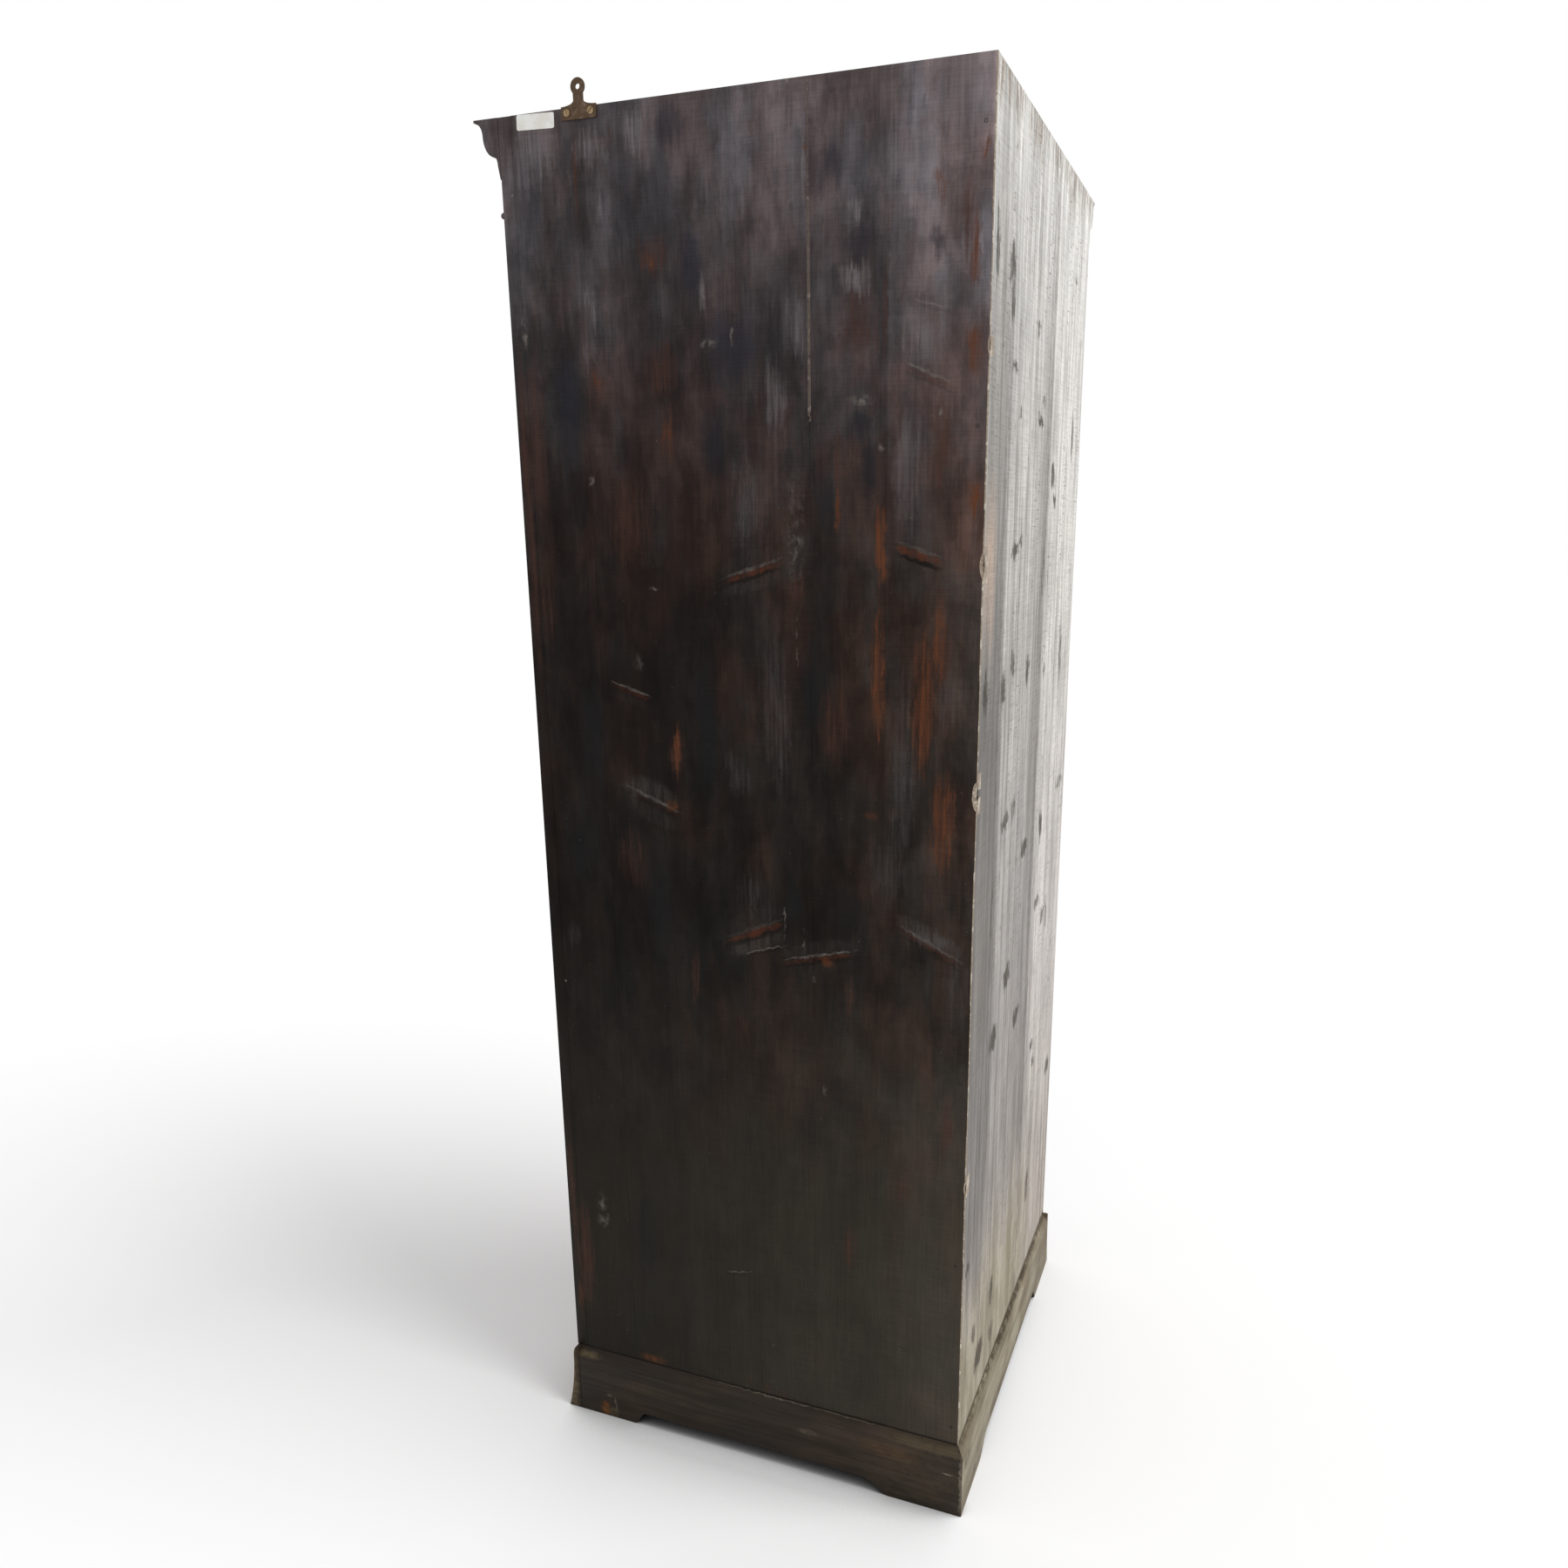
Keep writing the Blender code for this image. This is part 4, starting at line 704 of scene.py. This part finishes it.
def plinth_stain(name, along, body, worn, chip, marks=(), pale_side=False):
    """Stain or wash on a wall plinth: darker in the hollows of the grain, scuffed, with a few marks."""
    finish = Finish(name, Specular_IOR_Level=0.06)
    wall = finish.wall_place()
    ragged = finish.noise(wall, (90, 90, 90), detail=4, colour=True)
    torn = finish.shifted(wall, ragged, (0.012, 0.012, 0.007))
    place = finish.grain_place(along)
    figure = finish.noise(place, (60, 60, 4), detail=5, roughness=0.6)
    cloud = finish.noise(place, (14, 14, 9), detail=4)
    grain = finish.noise(place, (520, 520, 12), detail=3)
    scuff = finish.noise(place, (90, 90, 60), detail=5, roughness=0.65)
    finish.colour = finish.mix(finish.ramp(cloud, 0.38, 0.66), body, worn)
    finish.shade(figure, 0.3, 0.7, 0.74, 1.24)
    for spots, paint, strength in marks:
        holes = finish.ramp(scuff, 0.34, 0.56, 0.3 * strength, strength)
        finish.lay(paint, finish.spots(torn, spots, 0.2, pale_side), holes)
    finish.lay(chip, finish.ramp(scuff, 0.68, 0.76, 0, 0.5))
    finish.shade(grain, 0.3, 0.7, 0.86, 1.12)
    normal = finish.bump(grain, 0.0002, finish.bump(scuff, 0.0003))
    return finish.done(cloud, 0.5, 0.68, normal)


def worn_edge(name, dark, light, amount):
    """Bare and handled wood along an arris."""
    finish = Finish(name, Specular_IOR_Level=0.25)
    rubbed = finish.noise(finish.place, (55, 55, 55), detail=5, roughness=0.7)
    fine = finish.noise(finish.place, (600, 600, 200), detail=3)
    finish.colour = finish.mix(finish.ramp(rubbed, 0.62 - amount, 0.72 - amount), dark, light)
    finish.shade(fine, 0.3, 0.7, 0.8, 1.15)
    return finish.done(rubbed, 0.5, 0.7, finish.bump(fine, 0.0002))


def mahogany(name, along):
    """Polished mahogany: ribbon figure, dark pores and a soft old polish."""
    finish = Finish(name, Coat_Weight=0.3, Coat_Roughness=0.22)
    place = finish.grain_place(along)
    slow = finish.noise(place, (7, 7, 0.8), detail=3, distortion=0.4)
    rings = finish.math("SINE", finish.times(slow, 70.0))
    ribbon = finish.noise(place, (45, 45, 1.6), detail=5, roughness=0.6)
    pores = finish.noise(place, (900, 900, 16), detail=2)
    bloom = finish.noise(place, (6, 6, 5), detail=3)
    finish.colour = finish.mix(finish.ramp(rings, -1.0, 1.0), srgb(74, 33, 21), srgb(112, 54, 32))
    finish.lay(srgb(92, 40, 25), finish.ramp(ribbon, 0.35, 0.65, 0.0, 0.7))
    finish.shade(bloom, 0.3, 0.7, 0.74, 1.2)
    finish.lay(srgb(36, 16, 11), finish.ramp(pores, 0.60, 0.70, 0, 0.75))
    return finish.done(bloom, 0.30, 0.44, finish.bump(pores, -0.00012))


def bare_pine(name, along):
    """Unfinished pine gone brown with age: growth rings, resin streaks and dust."""
    finish = Finish(name, Specular_IOR_Level=0.25)
    place = finish.grain_place(along)
    slow = finish.noise(place, (11, 11, 0.7), detail=2, distortion=0.3)
    rings = finish.math("SINE", finish.times(slow, 110.0))
    grain = finish.noise(place, (500, 500, 9), detail=3)
    dust = finish.noise(place, (9, 9, 5), detail=4)
    finish.colour = finish.mix(finish.ramp(rings, -0.2, 1.0), srgb(182, 146, 104), srgb(142, 100, 62))
    finish.shade(grain, 0.3, 0.7, 0.84, 1.1)
    finish.lay(srgb(130, 112, 90), finish.ramp(dust, 0.38, 0.68, 0.1, 0.6))
    return finish.done(dust, 0.6, 0.8, finish.bump(grain, 0.0002))


def aged_metal(name, bright, dull, stain, shine, amount):
    """Metal that has gone dull, brighter where hands and cloths have rubbed it."""
    finish = Finish(name, Metallic=1.0)
    cloud = finish.noise(finish.place, (120, 120, 120), detail=4, roughness=0.6)
    pits = finish.noise(finish.place, (900, 900, 900), detail=3)
    finish.colour = finish.mix(finish.ramp(cloud, 0.62 - amount, 0.78 - amount), dull, bright)
    finish.lay(stain, finish.ramp(pits, 0.56, 0.70, 0, 0.7))
    return finish.done(cloud, shine + 0.2, shine, finish.bump(pits, 0.0001))


def label_paper():
    """White paper, a little yellowed."""
    finish = Finish("label_paper", Specular_IOR_Level=0.3)
    fibres = finish.noise(finish.place, (900, 900, 900), detail=4)
    yellowed = finish.noise(finish.place, (60, 60, 60), detail=2)
    finish.colour = finish.mix(finish.ramp(yellowed, 0.35, 0.7), srgb(240, 240, 238), srgb(228, 226, 218))
    finish.shade(fibres, 0.3, 0.7, 0.96, 1.0)
    return finish.done(fibres, 0.5, 0.62, finish.bump(fibres, 0.00004))


# Wall sides
def clouds(name, size):
    texture = bpy.data.textures.new(name, "CLOUDS")
    texture.noise_scale = size
    return texture


def board_blank(node, long_axis, round_corner):
    """A planed board in wall coordinates, with eased arrises and a gently waved outer face."""
    low, high = wall_box(node)
    low[long_axis] -= JOINT_CLOSE
    high[long_axis] += JOINT_CLOSE
    bpy.ops.mesh.primitive_cube_add(size=1, location=(low + high) / 2, scale=high - low)
    board = named(f"finished_{node}")
    settle(board)
    if round_corner:
        pick_edges(board, lambda a, b: max(abs(a.x), abs(a.y), abs(b.x), abs(b.y)) < JOINT_ARRIS)
        bpy.ops.mesh.bevel(offset=CORNER_ARRIS, segments=4, affect="EDGES")
        leave_edit()
    modify(board, "BEVEL", width=JOINT_ARRIS, segments=2, limit_method="ANGLE", angle_limit=math.radians(60))
    for axis in (2, long_axis):
        cuts = math.ceil(math.sqrt((high - low)[axis] / BOARD_GRID)) - 1
        for _ in range(2):
            pick_edges(board, lambda start, end: abs((end - start)[axis]) > 1.2 * BOARD_GRID)
            bpy.ops.mesh.subdivide(number_cuts=cuts)
            leave_edit()
    board.vertex_groups.new(name="outer_face")
    pick_faces(board, lambda centre, normal: (normal.y if long_axis == 0 else -normal.x) > 0.99)
    bpy.ops.object.vertex_group_assign()
    leave_edit()
    modify(board, "DISPLACE", texture=clouds("board_waves", WAVE_LENGTH), strength=2 * WAVE_DEPTH,
           texture_coords="LOCAL", direction="Y" if long_axis == 0 else "X", vertex_group="outer_face")
    return board


def ragged_ball(place, size, turn):
    """A rough lump for tearing wood away."""
    bpy.ops.mesh.primitive_ico_sphere_add(subdivisions=4, radius=1, location=place, rotation=turn,
                                          scale=size)
    lump = named("lump")
    settle(lump)
    splinters = clouds("splinters", 5 * SPLINTER)
    modify(lump, "DISPLACE", texture=splinters, strength=SPLINTER, texture_coords="LOCAL")
    return lump


def gouge_tools(low, high):
    """The lumps that tear the gouges between two places along the dark side."""
    tools = []
    for gouge in GOUGES:
        start, start_height, end, end_height, tall = in_metres(gouge, 5)[:5]
        middle = (start + end) / 2
        if low < middle < high:
            half = math.hypot(end - start, end_height - start_height) / 2
            turn = math.atan2(start_height - end_height, end - start)
            place = (middle, GOUGE_DEPTH, (start_height + end_height) / 2)
            size = (half, 2 * GOUGE_DEPTH, 0.75 * tall)
            tools.append(ragged_ball(place, size, (math.radians(14), turn, 0)))
    return tools


def joint_filler(finish):
    """Old filler standing a little proud in the upper part of the dark side's rear joint."""
    wide, deep, sunk = 0.004, 0.0014, 0.0005
    joint = wall_box("right_side_board_middle")[0].x
    low, high = FILLER_FOOT, TOP - 0.0005
    bpy.ops.mesh.primitive_cube_add(size=1, location=(joint, -sunk, (low + high) / 2),
                                    scale=(wide, deep, high - low))
    strip = named("joint_filler")
    settle(strip)
    pick_edges(strip, lambda start, end: abs((end - start).z) > 0.1)
    bpy.ops.mesh.subdivide(number_cuts=90)
    leave_edit()
    pick_edges(strip, lambda start, end: min(start.z, end.z) > FILLER_NARROW)
    bpy.ops.transform.resize(value=(0.3, 1, 1), center_override=(joint, 0, TOP))
    leave_edit()
    modify(strip, "DISPLACE", texture=clouds("filler_edges", 0.009), strength=0.0016, texture_coords="LOCAL",
           direction="NORMAL")
    settle(strip, WALL_FRAME)
    return mount(strip, "carcase", "dark_stained_pine", finish)


def by_corner(centre, normal):
    """True for the rounded and chipped faces at the rear corner."""
    place = WALL_FRAME.inverted() @ centre
    return place.x < 0.008 and place.y > -0.008 and normal.dot(OUT_OF_DARK) < 0.97


def wall_side(side, long_axis, outward, slot, finish, inside, *corner):
    """The three boards of a wall side, torn and chipped, finished outside and bare inside."""
    for part in ("rear", "middle", "front"):
        node = f"{side}_side_board_{part}"
        low, high = wall_box(node)
        at_corner = corner if part == "rear" else ()
        board = board_blank(node, long_axis, bool(at_corner))
        tools = gouge_tools(low.x, high.x) if side == "right" else []
        if at_corner:
            tools += [ragged_ball((0, 0, height), (deep, deep, tall), (0, 0, 0.4))
                      for height, deep, tall in CORNER_CHIPS]
        if tools:
            cut_out(board, tools)
        settle(board, WALL_FRAME)
        mount(board, "carcase", slot, finish, inside, *at_corner)
        paint_faces(board, 1, lambda centre, normal: normal.dot(outward) < -0.5)
        if at_corner:
            paint_faces(board, 2, lambda centre, normal: normal.dot(OUT_OF_PALE) > 0.85)
            paint_faces(board, 3, by_corner)
        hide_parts(node)


# Fasteners and the label
def turned_to(place, out, turn=0.0):
    """Where a fastener goes that is modelled at the origin, facing up."""
    facing = out.to_track_quat("Z", "Y").to_matrix().to_4x4()
    return Matrix.Translation(place) @ facing @ Matrix.Rotation(turn, 4, "Z")


def domed_head(radius, rise, dome):
    """A round head, facing up, half sunk, its top raised in two steps."""
    bpy.ops.mesh.primitive_cylinder_add(vertices=28, radius=radius, depth=rise)
    head = named("head")
    pick_faces(head, lambda centre, normal: normal.z > 0.9)
    bpy.ops.mesh.inset(thickness=0.28 * radius)
    bpy.ops.transform.translate(value=(0, 0, 0.35 * dome))
    bpy.ops.mesh.inset(thickness=0.35 * radius)
    bpy.ops.transform.translate(value=(0, 0, 0.12 * dome))
    leave_edit()
    return head


def slotted_head(radius, rise, dome):
    """A screw's head with a slot for the driver."""
    head = domed_head(radius, rise, dome)
    bpy.ops.mesh.primitive_cube_add(size=1, location=(0, 0, 0.6 * rise),
                                    scale=(3 * radius, 0.24 * radius, rise))
    slot = named("slot")
    settle(slot)
    cut_out(head, [slot])
    return head


def nail_head(radius, rise):
    """A flat cut nail's head with a hammered dimple."""
    bpy.ops.mesh.primitive_cylinder_add(vertices=14, radius=radius, depth=rise)
    head = named("nail")
    pick_faces(head, lambda centre, normal: normal.z > 0.9)
    bpy.ops.mesh.inset(thickness=0.45 * radius)
    bpy.ops.transform.translate(value=(0, 0, -0.3 * rise))
    leave_edit()
    return head


def fasteners(name, model, places, body, slot, finish):
    """Copies of a fastener at several places, each turned as the driver left it."""
    copies = []
    for place, out in places:
        copy = copy_of(model)
        settle(copy, turned_to(place, out, CHANCE.uniform(0, math.pi)))
        copies.append(copy)
    bpy.data.objects.remove(model)
    return mount(join(copies, name), body, slot, finish)


def sunk_screws(name, piece, places, body, slot, finish):
    """Screws sunk in a metal piece: their seats cut out of it and their heads just below its face."""
    seats = []
    for place, out in places:
        bpy.ops.mesh.primitive_cone_add(vertices=28, radius1=0.75 * SUNK_RADIUS, radius2=1.35 * SUNK_RADIUS,
                                        depth=2 * SUNK_DEPTH)
        seat = named("seat")
        settle(seat, turned_to(place, out))
        seats.append(seat)
    cut_out(piece, seats)
    head = slotted_head(0.94 * SUNK_RADIUS, SUNK_DEPTH, 0.0)
    lower = [(place - out * 0.6 * SUNK_DEPTH, out) for place, out in places]
    return fasteners(name, head, lower, body, slot, finish)


def label():
    """A blank paper label under the dark side's top edge, with round corners."""
    wide, tall, corner, paper = 0.057, 0.0185, 0.0025, 0.00025
    along, below_top, tilt = 0.614, 0.0105, math.radians(2)
    bpy.ops.mesh.primitive_plane_add(size=1)
    piece = named("blank_label")
    piece.scale = (wide, tall, 1)
    settle(piece)
    pick_all(piece)
    bpy.ops.mesh.bevel(offset=corner, segments=5, affect="VERTICES")
    leave_edit()
    modify(piece, "SOLIDIFY", thickness=paper, offset=1)
    spot = WALL_FRAME @ Matrix.Translation((along, paper / 2, TOP - below_top))
    settle(piece, spot @ Matrix.Rotation(math.radians(90), 4, "X") @ Matrix.Rotation(tilt, 4, "Z"))
    return mount(piece, "carcase", "limewashed_pine", label_paper())


# Stage
AMBIENT = 0.64
KEY_LEVEL = 1.85
KEY_SPREAD = math.radians(34)
KEY_FROM = Vector((-0.85, 0.78, 1.35))
FLOOR_SIZE = 60
FLOOR_LEVEL = 0.9
FLOOR_LIFT = 0.055
SHADE_REACH = 0.3


def camera():
    """The photograph's viewpoint: standing behind the wardrobe, looking at its rear corner."""
    data = bpy.data.cameras.new("camera")
    data.sensor_width = 36
    data.lens = 27.12
    data.shift_x = -0.0386
    data.shift_y = 0.0273
    view = bpy.data.objects.new("camera", data)
    view.location = (0.7896, 1.6228, 1.4867)
    view.rotation_euler = (math.radians(75.46), 0, math.radians(155.2))
    bpy.context.scene.collection.objects.link(view)
    bpy.context.scene.camera = view


def seen_directly(tree):
    """1 where the camera, a mirror or glass looks at a surface, and 0 for the light that it gives."""
    rays = tree.nodes.new("ShaderNodeLightPath").outputs
    total = rays["Is Camera Ray"]
    for kind in ("Is Glossy Ray", "Is Transmission Ray"):
        either = tree.nodes.new("ShaderNodeMath")
        either.operation = "MAXIMUM"
        tree.links.new(total, either.inputs[0])
        tree.links.new(rays[kind], either.inputs[1])
        total = either.outputs[0]
    return total


def studio():
    """A white room, soft light all round, a soft key light from the pale side, and a floor with a painted
    contact shadow.
    """
    scene = bpy.context.scene
    scene.view_settings.view_transform = "Standard"
    world = bpy.data.worlds.new("studio")
    scene.world = world
    world.use_nodes = True
    tree = world.node_tree
    tree.nodes.clear()
    level = tree.nodes.new("ShaderNodeMapRange")
    level.inputs["To Min"].default_value = AMBIENT
    level.inputs["To Max"].default_value = 1.0
    tree.links.new(seen_directly(tree), level.inputs["Value"])
    background = tree.nodes.new("ShaderNodeBackground")
    background.inputs["Color"].default_value = (1, 1, 1, 1)
    tree.links.new(level.outputs[0], background.inputs["Strength"])
    output = tree.nodes.new("ShaderNodeOutputWorld")
    tree.links.new(background.outputs[0], output.inputs["Surface"])

    lamp = bpy.data.lights.new("key_light", "SUN")
    lamp.energy = KEY_LEVEL
    lamp.angle = KEY_SPREAD
    key_light = bpy.data.objects.new("key_light", lamp)
    key_light.rotation_euler = (-KEY_FROM).to_track_quat("-Z", "Y").to_euler()
    scene.collection.objects.link(key_light)

    bpy.ops.mesh.primitive_plane_add(size=FLOOR_SIZE)
    floor = named("floor")
    paint = Finish("floor_paint", Specular_IOR_Level=0.0, Roughness=1.0, Emission_Color=(1, 1, 1, 1))
    # The floor's colour and glow are darkened by ambient occlusion, more on the dark side: a painted contact
    # shadow around and under the wardrobe.
    open_air = paint.add("ShaderNodeAmbientOcclusion", {"Distance": SHADE_REACH}, samples=8).outputs["AO"]
    needed = paint.ramp(paint.parts_of(paint.place)[0], -0.06, 0.04, 0.45, 0.66)
    shade = paint.math("MINIMUM", paint.math("POWER", paint.math("DIVIDE", open_air, needed), 2.0), 1.0)
    lift = paint.times(paint.times(seen_directly(paint.tree), FLOOR_LIFT), shade)
    paint.feed(paint.shader.inputs["Base Color"], paint.times(shade, FLOOR_LEVEL))
    paint.feed(paint.shader.inputs["Emission Strength"], lift)
    floor.data.materials.append(paint.material)
    floor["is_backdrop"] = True


# Assembly
camera()
studio()

DARK_STAIN = dark_stain()
LIMEWASH = limewash()
DARK_PLINTH = plinth_stain("dark_stained_plinth", ALONG_DARK, srgb(48, 42, 37), srgb(58, 49, 42),
                           srgb(84, 74, 62), (
    (BEIGE_WOOD_MARKS, srgb(110, 97, 73), 0.8),
    (ORANGE_WOOD_MARKS, srgb(127, 80, 36), 0.8),
    (DUST_AND_PALE_LINE_MARKS, srgb(152, 142, 126), 0.75),
))
PALE_PLINTH = plinth_stain("limewashed_plinth", ALONG_PALE, srgb(140, 132, 114), srgb(116, 106, 90),
                           srgb(88, 76, 62), (
    # A dark band along the top of the chamfer: painted shadow of the joint, with some dirt.
    (CHAMFER_SHADOW_AND_DIRT_MARKS, srgb(62, 52, 39), 0.9),
    (DARK_SCUFF_MARKS, srgb(78, 68, 56), 0.8),
), True)
# Pine painted nearly black where it lies in shade under the wardrobe: painted shade on the plinths' insides,
# the plinth blocks and the floor board's underside.
UNDERSIDE_SHADE = plinth_stain("pine_in_painted_shade", SIDEWAYS, srgb(30, 25, 21), srgb(42, 35, 29), srgb(58, 49, 40))
FILLER = worn_edge("old_filler", srgb(88, 77, 70), srgb(124, 113, 106), 0.10)
CORNER_EDGE = worn_edge("worn_corner", srgb(140, 126, 110), srgb(186, 177, 163), 0.12)
PINE_UPRIGHT = bare_pine("bare_pine_upright", UPRIGHT)
# Slots with their finishes.
PINE_ACROSS = ("bare_pine", bare_pine("bare_pine_across", SIDEWAYS))
PINE_DARK_SIDE = ("bare_pine", bare_pine("bare_pine_along_dark_side", ALONG_DARK))
PINE_PALE_SIDE = ("bare_pine", bare_pine("bare_pine_along_pale_side", ALONG_PALE))
RUBBED = worn_edge("rubbed_mahogany", srgb(86, 40, 26), srgb(128, 72, 46), 0.08)
MAHOGANY_UPRIGHT, MAHOGANY_ACROSS, MAHOGANY_RIGHT, MAHOGANY_LEFT = (
    ("polished_mahogany", mahogany(f"polished_mahogany_{name}", along), RUBBED) for name, along in (
        ("upright", UPRIGHT), ("across", SIDEWAYS),
        ("right_return", ALONG_PALE), ("left_return", ALONG_DARK))
)
BRASS, SCREW_BRASS, PLATE_BRASS = (
    ("aged_brass", aged_metal(*look)) for look in (
        ("old_brass", srgb(190, 150, 84), srgb(120, 92, 54), srgb(62, 46, 30), 0.30, 0.10),
        ("rubbed_screw_brass", srgb(196, 178, 148), srgb(146, 124, 94), srgb(72, 56, 40), 0.30, 0.14),
        ("dark_plate_brass", srgb(112, 96, 84), srgb(88, 72, 58), srgb(58, 44, 34), 0.42, 0.08))
)
IRON = ("dark_iron",
        aged_metal("old_iron", srgb(96, 90, 84), srgb(56, 53, 50), srgb(60, 38, 28), 0.42, 0.05))

wall_side("right", 0, OUT_OF_DARK, "dark_stained_pine", DARK_STAIN, PINE_UPRIGHT, LIMEWASH, CORNER_EDGE)
wall_side("left", 1, OUT_OF_PALE, "limewashed_pine", LIMEWASH, PINE_UPRIGHT)
joint_filler(FILLER)

for side, outward, wall_finish, plinth_finish, crosswise, slot in (
    ("right", OUT_OF_DARK, DARK_STAIN, DARK_PLINTH, MAHOGANY_RIGHT, "dark_stained_pine"),
    ("left", OUT_OF_PALE, LIMEWASH, PALE_PLINTH, MAHOGANY_LEFT, "limewashed_pine"),
):
    lap = WALL_FRAME.translation - outward * STAIN_LAP
    for node, arris, show, end_finish in (
        (f"{side}_return", WOOD_ARRIS, MAHOGANY_UPRIGHT, wall_finish),
        (f"{side}_cornice", MOULDING_ARRIS, crosswise, wall_finish),
        (f"{side}_astragal", MOULDING_ARRIS, crosswise, wall_finish),
        (f"{side}_return_plinth", WOOD_ARRIS, crosswise, plinth_finish),
    ):
        piece = eased(node, arris, *show)
        piece.data.materials.append(end_finish)
        pick_all(piece)
        bpy.ops.mesh.bisect(plane_co=lap, plane_no=outward)
        leave_edit()
        paint_faces(piece, 2, lambda centre, normal: (centre - lap).dot(outward) > 0)
    plinth = eased(f"{side}_wall_plinth", WOOD_ARRIS, slot, plinth_finish)
    # Its inside faces and undersides are painted dark as shade.
    plinth.data.materials.append(UNDERSIDE_SHADE)
    paint_faces(plinth, 1, lambda centre, normal: normal.dot(outward) < -0.5 or normal.z < -0.3)

for arris, look, nodes in (
    (WOOD_ARRIS, MAHOGANY_UPRIGHT, ("right_front_stile", "left_front_stile", "door_hinge_stile",
                                    "door_lock_stile", "door_lower_panel", "door_upper_panel")),
    (WOOD_ARRIS, MAHOGANY_ACROSS, ("frieze_rail", "bottom_rail", "door_bottom_rail", "door_middle_rail",
                                   "door_top_rail", "front_plinth")),
    (MOULDING_ARRIS, MAHOGANY_ACROSS, ("front_cornice", "front_astragal")),
    (WOOD_ARRIS, PINE_ACROSS, ("top_board", "hat_shelf")),
    # Plinth blocks under the wardrobe, painted dark as shade.
    (WOOD_ARRIS, ("bare_pine", UNDERSIDE_SHADE), ("rear_plinth_block", "right_plinth_block", "left_plinth_block")),
    (METAL_ARRIS, BRASS, ("lower_hinge_pin", "upper_hinge_pin", "lock_bolt", "escutcheon", "handle_plate",
                          "handle_bail")),
    (METAL_ARRIS, IRON, ("key",)),
    (METAL_ARRIS, PLATE_BRASS, ("wall_plate",)),
):
    for node in nodes:
        eased(node, arris, *look)
piece = eased("floor_board", WOOD_ARRIS, *PINE_ACROSS)
# The floor board's underside is painted dark as shade.
piece.data.materials.append(UNDERSIDE_SHADE)
paint_faces(piece, 1, lambda centre, normal: normal.z < -0.5)

for side, pine, along, inward in (
    ("right", PINE_DARK_SIDE, ALONG_DARK, -OUT_OF_DARK),
    ("left", PINE_PALE_SIDE, ALONG_PALE, -OUT_OF_PALE),
):
    wood_screws, hook_screws = [], []
    for node, spread in ((f"{side}_shelf_bearer", BEARER_SCREWS), (f"{side}_hook_batten", BATTEN_SCREWS)):
        eased(node, 2 * WOOD_ARRIS, *pine)
        low, high = wall_box(node)
        face = -low.y if side == "right" else high.x
        for reach in spread:
            place = WALL_FRAME.translation + along * reach + inward * face + UPRIGHT * (low.z + high.z) / 2
            wood_screws.append((place, inward))
    for number, reach in enumerate(HOOKS_ALONG, 1):
        eased(f"{side}_coat_hook_{number}", METAL_ARRIS, *BRASS)
        for height in HOOK_SCREW_HEIGHTS:
            place = WALL_FRAME.translation + along * reach + inward * HOOK_FACE + UPRIGHT * height
            hook_screws.append((place, inward))
    fasteners(f"{side}_batten_screws", slotted_head(*BATTEN_HEAD), wood_screws, "carcase", *IRON)
    fasteners(f"{side}_hook_screws", slotted_head(*HOOK_HEAD), hook_screws, "carcase", *BRASS)

for hinge in ("lower_hinge", "upper_hinge"):
    for leaf, body, out in (("frame_leaf", "carcase", SIDEWAYS), ("door_leaf", "door", -SIDEWAYS)):
        piece = eased(f"{hinge}_{leaf}", METAL_ARRIS, *BRASS)
        low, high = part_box(f"{hinge}_{leaf}")
        heights = [low.z + part * (high.z - low.z) for part in LEAF_SCREW_PARTS]
        places = [(Vector((LEAF_FACES[leaf], LEAF_SCREWS, height)), out) for height in heights]
        sunk_screws(f"{hinge}_{leaf}_screws", piece, places, body, *BRASS)
case = eased("lock_case", METAL_ARRIS, *IRON)
low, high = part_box("lock_case")
places = [(Vector((x, high.y, z)), -FRONT) for x in (low.x + CASE_SCREW_INSET, high.x - CASE_SCREW_INSET)
          for z in (low.z + CASE_SCREW_INSET, high.z - CASE_SCREW_INSET)]
sunk_screws("lock_case_screws", case, places, "door", *IRON)
keep = eased("lock_keep", METAL_ARRIS, *BRASS)
low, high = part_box("lock_keep")
places = [(Vector((high.x - KEEP_SCREW_INSET, high.y, z)), -FRONT)
          for z in (low.z + KEEP_SCREW_INSET, high.z - KEEP_SCREW_INSET)]
sunk_screws("lock_keep_screws", keep, places, "carcase", *BRASS)

label()
low, high = wall_box("wall_plate")
places = [(WALL_FRAME @ Vector((along, high.y, low.z + PLATE_SCREW_INSET)), OUT_OF_DARK)
          for along in (low.x + PLATE_SCREW_INSET, high.x - PLATE_SCREW_INSET)]
fasteners("wall_plate_screws", slotted_head(*PLATE_HEAD), places, "carcase", *SCREW_BRASS)
places = [(WALL_FRAME @ Vector((NAIL_FROM_CORNER, 0, height)), OUT_OF_DARK) for height in NAIL_HEIGHTS]
fasteners("corner_nails", nail_head(*NAIL_HEAD), places, "carcase", *IRON)
low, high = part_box("escutcheon")
pins = [Vector(((low.x + high.x) / 2, low.y, z)) for z in (low.z + OVAL_PIN_INSET, high.z - OVAL_PIN_INSET)]
low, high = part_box("handle_plate")
pins += [Vector((x, HANDLE_PLATE_FACE, (low.z + high.z) / 2))
         for x in (low.x + GRIP_PIN_INSET, high.x - GRIP_PIN_INSET)]
fasteners("door_pins", domed_head(*PIN_HEAD), [(pin, FRONT) for pin in pins], "door", *BRASS)

low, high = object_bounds()
